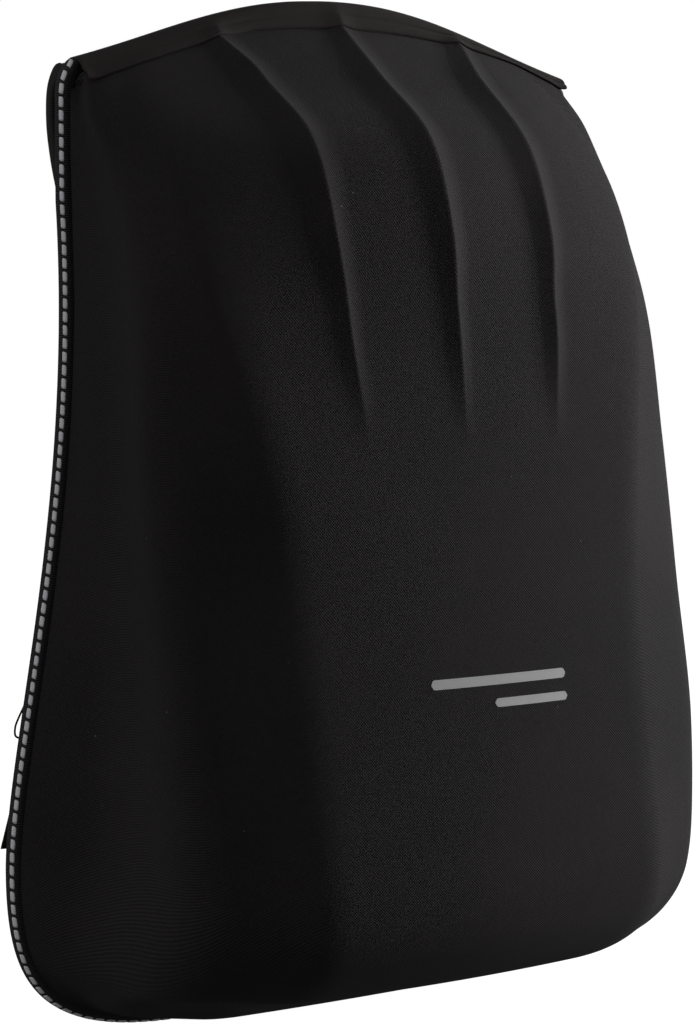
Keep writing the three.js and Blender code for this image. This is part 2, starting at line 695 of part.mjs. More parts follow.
const bag = new THREE.Group();
bag.add(shell(), seamTape(), collar(), backPanel(), haulLoop(), cordLoop());
for (const [side, hand] of [['left', -1], ['right', 1]]) {
  bag.add(shoulderStrap(`shoulder_strap_${side}`, hand));
  bag.add(buckle(`strap_buckle_${side}`, hand));
  bag.add(lowerWebbing(`lower_webbing_${side}`, hand));
  bag.add(webbingTail(`webbing_tail_${side}`, hand));
}

// The bag stands on its base with the middle of its box over the origin
const box = new THREE.Box3().setFromObject(bag, true);
bag.position.set(0, -(box.min.y + box.max.y) / 2, -box.min.z);

export default bag;
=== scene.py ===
"""A moulded hard shell backpack with a taped seam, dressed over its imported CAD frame."""
import logging
import math
from collections.abc import Sequence
from dataclasses import dataclass, field
from enum import Enum

import bmesh
import bpy
import numpy as np
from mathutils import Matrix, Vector
from mathutils.bvhtree import BVHTree


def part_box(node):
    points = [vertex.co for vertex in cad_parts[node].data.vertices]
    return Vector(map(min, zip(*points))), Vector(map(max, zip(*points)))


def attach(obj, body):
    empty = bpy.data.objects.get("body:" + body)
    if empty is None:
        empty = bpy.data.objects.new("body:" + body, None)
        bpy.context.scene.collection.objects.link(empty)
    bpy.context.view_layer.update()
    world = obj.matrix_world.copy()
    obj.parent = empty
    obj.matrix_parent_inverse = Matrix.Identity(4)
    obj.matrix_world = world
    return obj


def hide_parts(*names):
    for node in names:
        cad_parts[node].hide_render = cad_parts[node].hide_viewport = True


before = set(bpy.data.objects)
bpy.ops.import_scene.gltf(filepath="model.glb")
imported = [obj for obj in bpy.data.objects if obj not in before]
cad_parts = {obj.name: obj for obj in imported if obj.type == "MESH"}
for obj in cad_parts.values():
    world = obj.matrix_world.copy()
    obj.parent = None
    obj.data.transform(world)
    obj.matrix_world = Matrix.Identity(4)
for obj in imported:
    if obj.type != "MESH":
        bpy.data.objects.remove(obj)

log = logging.getLogger("backpack")

MM = 0.001
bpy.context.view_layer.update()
SEAM_Y = 500 * (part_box("seam_tape")[0].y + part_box("seam_tape")[1].y)
ACROSS = np.array([1.0, 0.0, 0.0])
UPWARDS = np.array([0.0, 0.0, 1.0])
SHARP_DEGREES = 55
FILL_PRESSURE = 4
FILL_STEPS = 20
STITCH_PITCH = 3.0
STITCH_SUNK = 0.05
WHITE = (1, 1, 1, 1)

# Stations of the shell's lines as in the CAD part: shares of the half width, the depth and the height
CENTRE_ROWS = (
    (0, 0.04, 0.007), (0, 0.09, 0), (0, 0.401, 0.043), (0, 0.745, 0.066), (0, 0.957, 0.112),
    (0, 1, 0.163), (0, 0.927, 0.302), (0, 0.859, 0.43), (0, 0.793, 0.565), (0, 0.722, 0.694),
    (0, 0.678, 0.775), (0, 0.567, 0.855), (0, 0.296, 0.918), (0, 0.076, 0.974),
)
CREASE_ROWS = (
    (0.43, 0.04, 0.007), (0.42, 0.088, 0.001), (0.451, 0.391, 0.044), (0.488, 0.725, 0.068),
    (0.513, 0.917, 0.114), (0.514, 0.965, 0.158), (0.516, 0.895, 0.294), (0.528, 0.82, 0.428),
    (0.574, 0.756, 0.565), (0.654, 0.646, 0.694), (0.692, 0.536, 0.775), (0.686, 0.404, 0.845),
    (0.639, 0.221, 0.905), (0.579, 0.07, 0.95),
)
CREASE_SOFTNESS = (
    0.3, 0.3, 0.3, 0.26, 0.2, 0.16, 0.16, 0.16, 0.18, 0.26, 0.34, 0.4, 0.4, 0.4,
)
SHOULDER_ROWS = (
    (0.68, 0.04, 0.016), (0.72, 0.085, 0.019), (0.775, 0.356, 0.052), (0.815, 0.556, 0.078),
    (0.832, 0.688, 0.126), (0.83, 0.741, 0.168), (0.849, 0.729, 0.294), (0.85, 0.644, 0.428),
    (0.85, 0.551, 0.565), (0.827, 0.475, 0.694), (0.803, 0.381, 0.77), (0.8, 0.273, 0.835),
    (0.812, 0.16, 0.885), (0.775, 0.075, 0.923),
)
VALLEY_ROWS = (
    (0.84, 0.04, 0.034), (0.858, 0.08, 0.054), (0.868, 0.19, 0.08), (0.862, 0.235, 0.115),
    (0.84, 0.26, 0.16), (0.815, 0.275, 0.212), (0.79, 0.28, 0.302), (0.785, 0.28, 0.428),
    (0.778, 0.272, 0.565), (0.775, 0.235, 0.694), (0.778, 0.19, 0.77), (0.785, 0.13, 0.835),
    (0.79, 0.08, 0.88), (0.78, 0.045, 0.908),
)
RIM_RISES = (0.05, 0.068, 0.09, 0.12, 0.165, 0.212, 0.302, 0.428, 0.565, 0.694, 0.77, 0.835, 0.88, 0.905)
RIB_PLACES = (
    0.3, 0.3, 0.3, 0.3, 0.3, 0.3, 0.3, 0.3, 0.3, 0.328, 0.343, 0.344, 0.36, 0.398,
)
RIB_HEIGHTS = (0, 0, 0, 0, 0, 0, 0, 0, 0, 0.6, 0.95, 1, 1, 0.6)
RIB_WIDTHS = (0.5, 0.5, 0.5, 0.5, 0.5, 0.5, 0.5, 0.5, 0.45, 0.6, 0.8, 1, 1, 0.75)

# The collar from foot to head: a share of its height, and how far it stands off as a share of its bulge
COLLAR_FOLDS = ((0, 0), (0.14, 0.7), (0.34, 0.8), (0.48, 0.45), (0.62, 0.7), (0.84, 0.55), (1, 0))

# The straps' route: shares of the splay, the arch and the drop
STRAP_ROUTE = (
    (0, 0.12, -0.008), (0, 0.58, -0.048), (0, 0.92, -0.018), (0, 1, 0.05), (-0.02, 0.88, 0.125),
    (-0.06, 0.62, 0.21), (-0.12, 0.34, 0.31), (-0.05, 0.13, 0.415), (0.1, 0.03, 0.53),
    (0.5, 0.005, 0.71), (0.9, 0, 0.86), (1, 0, 0.94), (1, 0, 1),
)

# The haul loop's route: shares of half its length and of its rise
HAUL_ROUTE = (
    (-1, 0), (-0.86, 0.03), (-0.7, 0.26), (-0.44, 0.76), (0, 1),
    (0.44, 0.76), (0.7, 0.26), (0.86, 0.03), (1, 0),
)

# The thin cord's chosen points, in millimetres from the seam plane
CORD_ROUTE = (
    (-160.4, 5.3, 172), (-161.1, 5.3, 169.3), (-161.9, 5.3, 166.6), (-162.9, 5.4, 164),
    (-164.1, 5.4, 161.4), (-165.4, 5.4, 158.9), (-166.7, 5.5, 156.5), (-167.9, 5.5, 154.1),
    (-168.8, 5.6, 152), (-169.2, 5.6, 150.1), (-169.3, 5.6, 148.2), (-169, 5.6, 146.9),
    (-168, 5.6, 146), (-166.8, 5.5, 145.7), (-165.6, 5.5, 146), (-164.6, 5.4, 146.9),
    (-164.3, 5.4, 148.2), (-164.3, 5.3, 149.3),
)


class Hand(Enum):
    """The side of the bag that a paired piece is on."""

    LEFT = -1
    RIGHT = 1

    @property
    def label(self) -> str:
        """The word for this side in a piece's name."""
        return self.name.lower()


def smooth_curve(stations: Sequence, shares: np.ndarray) -> np.ndarray:
    """Points of a centripetal curve through stations, at shares of the way along them.

    Args:
        stations: The points that the curve passes through.
        shares: Where to read it, from 0 at the first station to 1 at the last.

    Returns:
        One point for each share.
    """
    points = np.asarray(stations, float)
    last = len(points) - 1
    ends = np.vstack([2 * points[0] - points[1], points, 2 * points[-1] - points[-2]])
    place = np.clip(np.asarray(shares, float), 0, 1) * last
    first = np.minimum(place.astype(int), last - 1)
    part = (place - first)[:, None]
    before, start, end, after = (ends[first + step] for step in range(4))
    gaps = (start - before, end - start, after - end)
    steps = [np.sqrt(np.linalg.norm(gap, axis=1))[:, None] for gap in gaps]
    middle = np.where(steps[1] < 1e-4, 1.0, steps[1])
    lead = np.where(steps[0] < 1e-4, middle, steps[0])
    trail = np.where(steps[2] < 1e-4, middle, steps[2])
    leaving = (start - before) / lead - (end - before) / (lead + middle) + (end - start) / middle
    arriving = (end - start) / middle - (after - start) / (middle + trail) + (after - end) / trail
    leaving, arriving = leaving * middle, arriving * middle
    square = -3 * start + 3 * end - 2 * leaving - arriving
    cube = 2 * start - 2 * end + leaving + arriving
    return start + leaving * part + square * part**2 + cube * part**3


def eased(values: Sequence[float], share: float) -> float:
    """A column of a station table read between its rows.

    Args:
        values: One value for each station.
        share: Where to read it, from 0 to 1.

    Returns:
        The value, eased from each row to the next.
    """
    place = share * (len(values) - 1)
    row = min(int(place), len(values) - 2)
    part = place - row
    mix = part * part * (3 - 2 * part)
    return values[row] * (1 - mix) + values[row + 1] * mix


def signed_power(value: np.ndarray, power: float) -> np.ndarray:
    """A signed power, which squares off a round section."""
    return np.sign(value) * np.abs(value) ** power


def unit(vectors: np.ndarray) -> np.ndarray:
    """Vectors of length 1 along the last axis."""
    return vectors / np.maximum(np.linalg.norm(vectors, axis=-1, keepdims=True), 1e-12)


def to_frame(points: np.ndarray) -> np.ndarray:
    """Points in millimetres from the seam plane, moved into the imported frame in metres."""
    return (np.asarray(points, float) + np.array([0, SEAM_Y, 0])) * MM


def linked(name: str, data: bpy.types.ID) -> bpy.types.Object:
    """A new object in the scene that holds a mesh, a curve, a camera or a light."""
    made = bpy.data.objects.new(name, data)
    bpy.context.scene.collection.objects.link(made)
    return made


def evaluated_mesh(piece: bpy.types.Object) -> bpy.types.Mesh:
    """A plain mesh of an object with its modifiers applied."""
    return bpy.data.meshes.new_from_object(piece.evaluated_get(bpy.context.evaluated_depsgraph_get()))


def facing_out(mesh: bpy.types.Mesh) -> None:
    """Turns a closed mesh's faces outwards."""
    work = bmesh.new()
    work.from_mesh(mesh)
    bmesh.ops.recalc_face_normals(work, faces=work.faces)
    work.to_mesh(mesh)
    work.free()


def solid(name: str, points: np.ndarray, faces: Sequence, uvs: np.ndarray | None = None) -> bpy.types.Object:
    """A smooth mesh object from points in seam millimetres.

    Args:
        name: The object's name.
        points: The points, one row each.
        faces: Point indices of each face.
        uvs: Cloth coordinates in metres for each face corner, in the faces' order.

    Returns:
        The linked object.
    """
    mesh = bpy.data.meshes.new(name)
    mesh.from_pydata(to_frame(points).tolist(), [], [list(map(int, face)) for face in faces])
    if uvs is not None:
        layer = mesh.uv_layers.new(name="cloth")
        layer.data.foreach_set("uv", np.asarray(uvs, np.float32).ravel())
    facing_out(mesh)
    mesh.shade_smooth()
    mesh.set_sharp_from_angle(angle=math.radians(SHARP_DEGREES))
    return linked(name, mesh)


def lofted(name: str, rings: np.ndarray, closed: bool = False, even: bool = False) -> bpy.types.Object:
    """A closed solid through rings of points, with cloth coordinates measured along and around it.

    Args:
        name: The object's name.
        rings: Points by ring and by place in the ring.
        closed: Whether the last ring joins the first, as in a hoop.
        even: Whether the length along is the same for all places of a ring.

    Returns:
        The linked object.
    """
    rows, sides = rings.shape[:2]
    bands = rows if closed else rows - 1
    wrapped = np.concatenate([rings, rings[:1]]) if closed else rings
    steps = np.linalg.norm(np.diff(wrapped, axis=0), axis=2)
    if even:
        steps = np.repeat(steps.mean(axis=1, keepdims=True), sides, axis=1)
    along = np.vstack([np.zeros((1, sides)), np.cumsum(steps, axis=0)])
    girths = np.linalg.norm(np.roll(wrapped, -1, axis=1) - wrapped, axis=2)
    around = np.hstack([np.zeros((len(wrapped), 1)), np.cumsum(girths, axis=1)])
    i, j = (grid.ravel() for grid in np.meshgrid(np.arange(bands), np.arange(sides), indexing="ij"))
    following, beside = (i + 1) % rows, (j + 1) % sides
    corners = (i * sides + j, i * sides + beside, following * sides + beside, following * sides + j)
    quads = np.stack(corners, 1)
    reads = ((i, j, j), (i, j + 1, beside), (i + 1, j + 1, beside), (i + 1, j, j))
    uvs = np.stack([np.stack([around[row, girth], along[row, side]], 1) for row, girth, side in reads], 1)
    faces, coordinates = list(quads), [uvs.reshape(-1, 2)]
    if not closed:
        for start, row in ((0, 0), ((rows - 1) * sides, rows - 1)):
            for rung in range(sides // 2 - 1):
                cap = [rung, sides - 1 - rung, sides - 2 - rung, rung + 1]
                faces.append([start + corner for corner in cap])
                coordinates.append(np.array([[around[row, corner], along[row, corner]] for corner in cap]))
    return solid(name, rings.reshape(-1, 3), faces, np.concatenate(coordinates) * MM)


def joined(name: str, pieces: Sequence[bpy.types.Object]) -> bpy.types.Object:
    """One object that holds several mesh objects.

    Args:
        name: The name of the whole.
        pieces: The objects that go into it; they are used up.

    Returns:
        The whole.
    """
    whole = bmesh.new()
    for piece in pieces:
        whole.from_mesh(piece.data)
    mesh = bpy.data.meshes.new(name)
    whole.to_mesh(mesh)
    whole.free()
    for piece in pieces:
        bpy.data.objects.remove(piece)
    return linked(name, mesh)


def placed(
    piece: bpy.types.Object, material: bpy.types.Material, nodes: Sequence[str] = (),
) -> bpy.types.Object:
    """Dresses a piece and registers it with the frame.

    Args:
        piece: The finished piece.
        material: Its only material.
        nodes: The CAD nodes that it stands for.

    Returns:
        The same piece.
    """
    piece.data.materials.clear()
    piece.data.materials.append(material)
    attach(piece, "root")
    if nodes:
        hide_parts(*nodes)
    size = len(piece.data.polygons) if piece.type == "MESH" else 0
    log.info("%s: %d faces", piece.name, size)
    return piece


class Graph:
    """A short way to write a node tree."""

    def __init__(self, tree: bpy.types.NodeTree) -> None:
        """Takes the tree that the nodes go into."""
        self.tree = tree

    def node(self, kind: str, values: dict | None = None, **settings: object) -> bpy.types.Node:
        """Adds a node.

        Args:
            kind: The node's type name.
            values: Its inputs by name or number, each a plain value or another node's output.
            settings: The node's own properties.

        Returns:
            The new node.
        """
        made = self.tree.nodes.new(kind)
        for name, value in settings.items():
            setattr(made, name, value)
        for key, value in (values or {}).items():
            if isinstance(value, bpy.types.NodeSocket):
                self.tree.links.new(value, made.inputs[key])
            else:
                made.inputs[key].default_value = value
        return made

    def maths(self, operation: str, *values: object) -> bpy.types.NodeSocket:
        """The output of a maths node over numbers or other outputs."""
        return self.node("ShaderNodeMath", dict(enumerate(values)), operation=operation).outputs[0]

    def mixed(self, share: object, low: Sequence[float], high: Sequence[float]) -> bpy.types.NodeSocket:
        """The output of a colour mix.

        Args:
            share: How much of the second colour, a number or an output.
            low: The first colour.
            high: The second colour.

        Returns:
            The mixed colour's output.
        """
        mix = self.node("ShaderNodeMix", {0: share}, data_type="RGBA")
        for place, colour in ((6, low), (7, high)):
            if isinstance(colour, bpy.types.NodeSocket):
                self.tree.links.new(colour, mix.inputs[place])
            else:
                mix.inputs[place].default_value = (*colour, 1)
        return mix.outputs[2]


class Pattern(Enum):
    """How a cloth's threads lie."""

    PLAIN = "plain"
    RIBBED = "ribbed"
    MESH = "mesh"
    TWILL = "twill"


@dataclass(frozen=True)
class ClothFinish:
    """A woven or knitted finish, drawn from the cloth coordinates of the piece, with a painted highlight on
    the raised threads and painted shade in their dips.
    """

    name: str
    dark: tuple[float, float, float]
    light: tuple[float, float, float]
    pattern: Pattern
    pitch: float
    relief: float
    roughness: float = 0.85
    specular: float = 0.25
    sheen: float = 0.0
    sheen_roughness: float = 0.5
    lint: float = 0.0
    mottle: float = 0.25
    mapped: bool = True
    # Painted highlight and shade: how strongly the colour follows the thread height.
    thread_contrast: float = 0.35
    worn_scale: float = 9.0
    grain_scale: float = 900.0
    grain_contrast: float = 0.6
    lint_scale: float = 130.0
    lint_size: float = 0.05
    lint_rarity: float = 0.93
    lint_colour: tuple[float, float, float] = (0.2, 0.19, 0.18)

    def threads(self, graph: Graph, u: bpy.types.NodeSocket, v: bpy.types.NodeSocket) -> bpy.types.NodeSocket:
        """The height of the threads.

        Args:
            graph: The material's tree.
            u: The coordinate across the cloth, in metres.
            v: The coordinate along it.

        Returns:
            A height from about -1 to 1.
        """
        turn = 2 * math.pi / self.pitch
        across = graph.maths("SINE", graph.maths("MULTIPLY", u, turn))
        lengthwise = graph.maths("SINE", graph.maths("MULTIPLY", v, turn))
        if self.pattern is Pattern.RIBBED:
            return lengthwise
        if self.pattern is Pattern.TWILL:
            slanted = graph.maths("MULTIPLY", u, 0.6 * turn)
            return graph.maths("SINE", graph.maths("ADD", slanted, graph.maths("MULTIPLY", v, turn)))
        if self.pattern is Pattern.MESH:
            product = graph.maths("ADD", across, lengthwise)
            return graph.maths("SUBTRACT", 1.0, graph.maths("MULTIPLY", product, product))
        return graph.maths("MULTIPLY", across, lengthwise)

    def material(self) -> bpy.types.Material:
        """Builds the material.

        Returns:
            The new material.
        """
        made = bpy.data.materials.new(self.name)
        made.use_nodes = True
        graph = Graph(made.node_tree)
        shader = made.node_tree.nodes["Principled BSDF"]
        place = graph.node("ShaderNodeTexCoord").outputs["Object"]
        source = graph.node("ShaderNodeUVMap", uv_map="cloth").outputs[0] if self.mapped else place
        split = graph.node("ShaderNodeSeparateXYZ", {0: source})
        height = self.threads(graph, split.outputs[0], split.outputs[1 if self.mapped else 2])
        worn = graph.node(
            "ShaderNodeTexNoise",
            {"Vector": place, "Scale": self.worn_scale, "Detail": 4.0, "Roughness": 0.6},
        )
        grain = graph.node("ShaderNodeTexNoise", {"Vector": place, "Scale": self.grain_scale, "Detail": 2.0})
        # Painted highlight and shade: the colour is lighter where the threads stand high and darker in the
        # dips between them.
        share = graph.maths("MULTIPLY_ADD", height, self.thread_contrast, 0.5)
        for noise, amount in ((worn, self.mottle * 2), (grain, self.grain_contrast)):
            swing = graph.maths("SUBTRACT", noise.outputs[0], 0.5)
            share = graph.maths("ADD", share, graph.maths("MULTIPLY", swing, amount))
        share = graph.node("ShaderNodeClamp", {0: share}).outputs[0]
        colour = graph.mixed(share, self.dark, self.light)
        if self.lint:
            specks = graph.node("ShaderNodeTexVoronoi", {"Vector": place, "Scale": self.lint_scale})
            spot = graph.maths("LESS_THAN", specks.outputs["Distance"], self.lint_size)
            chance = graph.node("ShaderNodeSeparateColor", {0: specks.outputs["Color"]}).outputs[0]
            rare = graph.maths("GREATER_THAN", chance, self.lint_rarity)
            amount = graph.maths("MULTIPLY", graph.maths("MULTIPLY", spot, rare), self.lint)
            colour = graph.mixed(amount, colour, self.lint_colour)
        made.node_tree.links.new(colour, shader.inputs["Base Color"])
        total = graph.maths("ADD", height, graph.maths("MULTIPLY", grain.outputs[0], 0.8))
        bump = graph.node("ShaderNodeBump", {"Strength": 0.6, "Distance": self.relief, "Height": total})
        made.node_tree.links.new(bump.outputs[0], shader.inputs["Normal"])
        shader.inputs["Roughness"].default_value = self.roughness
        shader.inputs["Specular IOR Level"].default_value = self.specular
        shader.inputs["Sheen Weight"].default_value = self.sheen
        shader.inputs["Sheen Roughness"].default_value = self.sheen_roughness
        return made


@dataclass(frozen=True)
class SmoothFinish:
    """A finish with no threads: moulded plastic, reflective film, print or thread."""

    name: str
    colour: tuple[float, float, float]
    other: tuple[float, float, float]
    roughness: float
    grain: float = 1400.0
    relief: float = 0.00003
    specular: float = 0.5
    metallic: float = 0.0

    def material(self) -> bpy.types.Material:
        """Builds the material.

        Returns:
            The new material.
        """
        made = bpy.data.materials.new(self.name)
        made.use_nodes = True
        graph = Graph(made.node_tree)
        shader = made.node_tree.nodes["Principled BSDF"]
        place = graph.node("ShaderNodeTexCoord").outputs["Object"]
        cloudy = graph.node("ShaderNodeTexNoise", {"Vector": place, "Scale": 60.0, "Detail": 5.0})
        grain = graph.node("ShaderNodeTexNoise", {"Vector": place, "Scale": self.grain, "Detail": 2.0})
        share = graph.maths("MULTIPLY", graph.maths("ADD", cloudy.outputs[0], grain.outputs[0]), 0.5)
        made.node_tree.links.new(graph.mixed(share, self.colour, self.other), shader.inputs["Base Color"])
        bump = graph.node(
            "ShaderNodeBump", {"Strength": 0.5, "Distance": self.relief, "Height": grain.outputs[0]},
        )
        made.node_tree.links.new(bump.outputs[0], shader.inputs["Normal"])
        shader.inputs["Roughness"].default_value = self.roughness
        shader.inputs["Specular IOR Level"].default_value = self.specular
        shader.inputs["Metallic"].default_value = self.metallic
        return made


SHELL_CLOTH = ClothFinish(
    "shell_cloth", (0.0022, 0.0019, 0.0021), (0.041, 0.0355, 0.038), Pattern.PLAIN, 0.0013, 0.00022,
    roughness=0.85, specular=0.16, sheen=0.03, lint=0.6,
)
TAPE_CLOTH = ClothFinish(
    "ribbed_tape", (0.006, 0.006, 0.007), (0.05, 0.049, 0.052), Pattern.RIBBED, 0.0011, 0.0003, specular=0.3,
)
COLLAR_CLOTH = ClothFinish(
    "collar_cloth", (0.02, 0.0165, 0.0165), (0.044, 0.037, 0.0365), Pattern.PLAIN, 0.0008, 0.0001,
    roughness=0.9, specular=0.15,
)
MESH_CLOTH = ClothFinish(
    "air_mesh", (0.004, 0.004, 0.0045), (0.03, 0.03, 0.031), Pattern.MESH, 0.0026, 0.0005, roughness=0.95,
)
PANEL_CLOTH = ClothFinish(
    "panel_air_mesh", (0.004, 0.004, 0.0045), (0.03, 0.03, 0.031), Pattern.MESH, 0.0026, 0.0005,
    roughness=0.95, mapped=False,
)
BINDING_CLOTH = ClothFinish(
    "binding", (0.006, 0.006, 0.006), (0.028, 0.027, 0.027), Pattern.RIBBED, 0.0008, 0.0002,
    roughness=0.9, sheen=0.1,
)
WEBBING_CLOTH = ClothFinish(
    "webbing", (0.007, 0.007, 0.005), (0.03, 0.029, 0.024), Pattern.TWILL, 0.0016, 0.0003, roughness=0.8,
)
PLASTIC = SmoothFinish("moulded_plastic", (0.012, 0.012, 0.013), (0.018, 0.018, 0.019), 0.42)
REFLECTIVE = SmoothFinish("reflective_film", (0.7, 0.69, 0.74), (0.9, 0.89, 0.94), 0.5, grain=2600.0)
PRINT = SmoothFinish("light_grey_print", (0.42, 0.42, 0.43), (0.56, 0.56, 0.57), 0.6)
THREAD = SmoothFinish("thread", (0.018, 0.018, 0.018), (0.04, 0.04, 0.04), 0.8, grain=3000.0)
CORD = SmoothFinish("cord_cloth", (0.012, 0.012, 0.01), (0.03, 0.029, 0.026), 0.85, grain=2500.0)


@dataclass
class Outline:
    """The seam's outline as in the CAD part, from the middle of the base up the right to the top's middle."""

    height: float = 497
    half_width: float = 176.5
    samples: int = 400
    points: np.ndarray = field(init=False)
    lengths: np.ndarray = field(init=False)

    def __post_init__(self) -> None:
        """Samples the outline's stretches and measures along them."""
        stretches = (
            ((0, 0), (0.46, 0)),
            ((0.46, 0), (0.898, 0), (1, 0.051), (1, 0.165)),
            ((1, 0.165), (1, 0.285), (0.786, 0.506), (0.833, 0.8)),
            ((0.833, 0.8), (0.833, 0.897)),
            ((0.833, 0.897), (0.833, 0.924), (0.786, 0.935)),
            ((0.786, 0.935), (0.489, 0.964), (0.306, 1), (0, 1)),
        )
        shares = np.linspace(0, 1, self.samples)
        runs = [self.stretch(np.array(knots, float), shares) for knots in stretches]
        scale = np.array([self.half_width, self.height])
        self.points = np.vstack([runs[0], *[run[1:] for run in runs[1:]]]) * scale
        steps = np.linalg.norm(np.diff(self.points, axis=0), axis=1)
        self.lengths = np.concatenate([[0], np.cumsum(steps)])

    @staticmethod
    def stretch(knots: np.ndarray, shares: np.ndarray) -> np.ndarray:
        """Points of one stretch, by repeated halving between its knots.

        Args:
            knots: The stretch's two to four knots.
            shares: Where to read it.

        Returns:
            One point for each share.
        """
        level = np.repeat(knots[None], len(shares), axis=0)
        part = shares[:, None, None]
        while level.shape[1] > 1:
            level = level[:, :-1] * (1 - part) + level[:, 1:] * part
        return level[:, 0]

    @property
    def length(self) -> float:
        """The length of the right half."""
        return float(self.lengths[-1])

    def at(self, shares: np.ndarray, inset: float | np.ndarray = 0) -> np.ndarray:
        """Points of the outline moved inwards.

        Args:
            shares: Shares of the length.
            inset: How far inwards.

        Returns:
            Pairs of half width and height.
        """
        wanted = np.clip(np.asarray(shares, float), 0, 1) * self.length
        place = self.read(wanted)
        reach = 0.4
        ahead = self.read(np.minimum(wanted + reach, self.length))
        behind = self.read(np.maximum(wanted - reach, 0))
        tangent = unit(ahead - behind)
        return place + np.stack([-tangent[:, 1], tangent[:, 0]], 1) * np.reshape(inset, (-1, 1))

    def read(self, lengths: np.ndarray) -> np.ndarray:
        """Points at distances along the outline."""
        return np.stack([np.interp(lengths, self.lengths, self.points[:, axis]) for axis in (0, 1)], 1)

    def share_at_height(self, height: float) -> float:
        """The share of the length at which the outline passes a height."""
        return float(np.interp(height, np.maximum.accumulate(self.points[:, 1]), self.lengths) / self.length)

    def top_at(self, half_width: np.ndarray) -> np.ndarray:
        """Heights of the outline's top stretch at half widths."""
        top = self.points[self.points[:, 1] > 0.9 * self.height]
        order = np.argsort(top[:, 0])
        return np.interp(half_width, top[order, 0], top[order, 1])

    def loop(self, steps: int, inset: float = 0) -> np.ndarray:
        """The whole outline as a closed loop.

        Args:
            steps: Steps along each half.
            inset: How far inwards.

        Returns:
            Pairs of width and height, right half first.
        """
        right = self.at(np.linspace(0, 1, steps + 1), inset)
        left = right[1:-1][::-1] * np.array([-1, 1])
        return np.vstack([right, left])


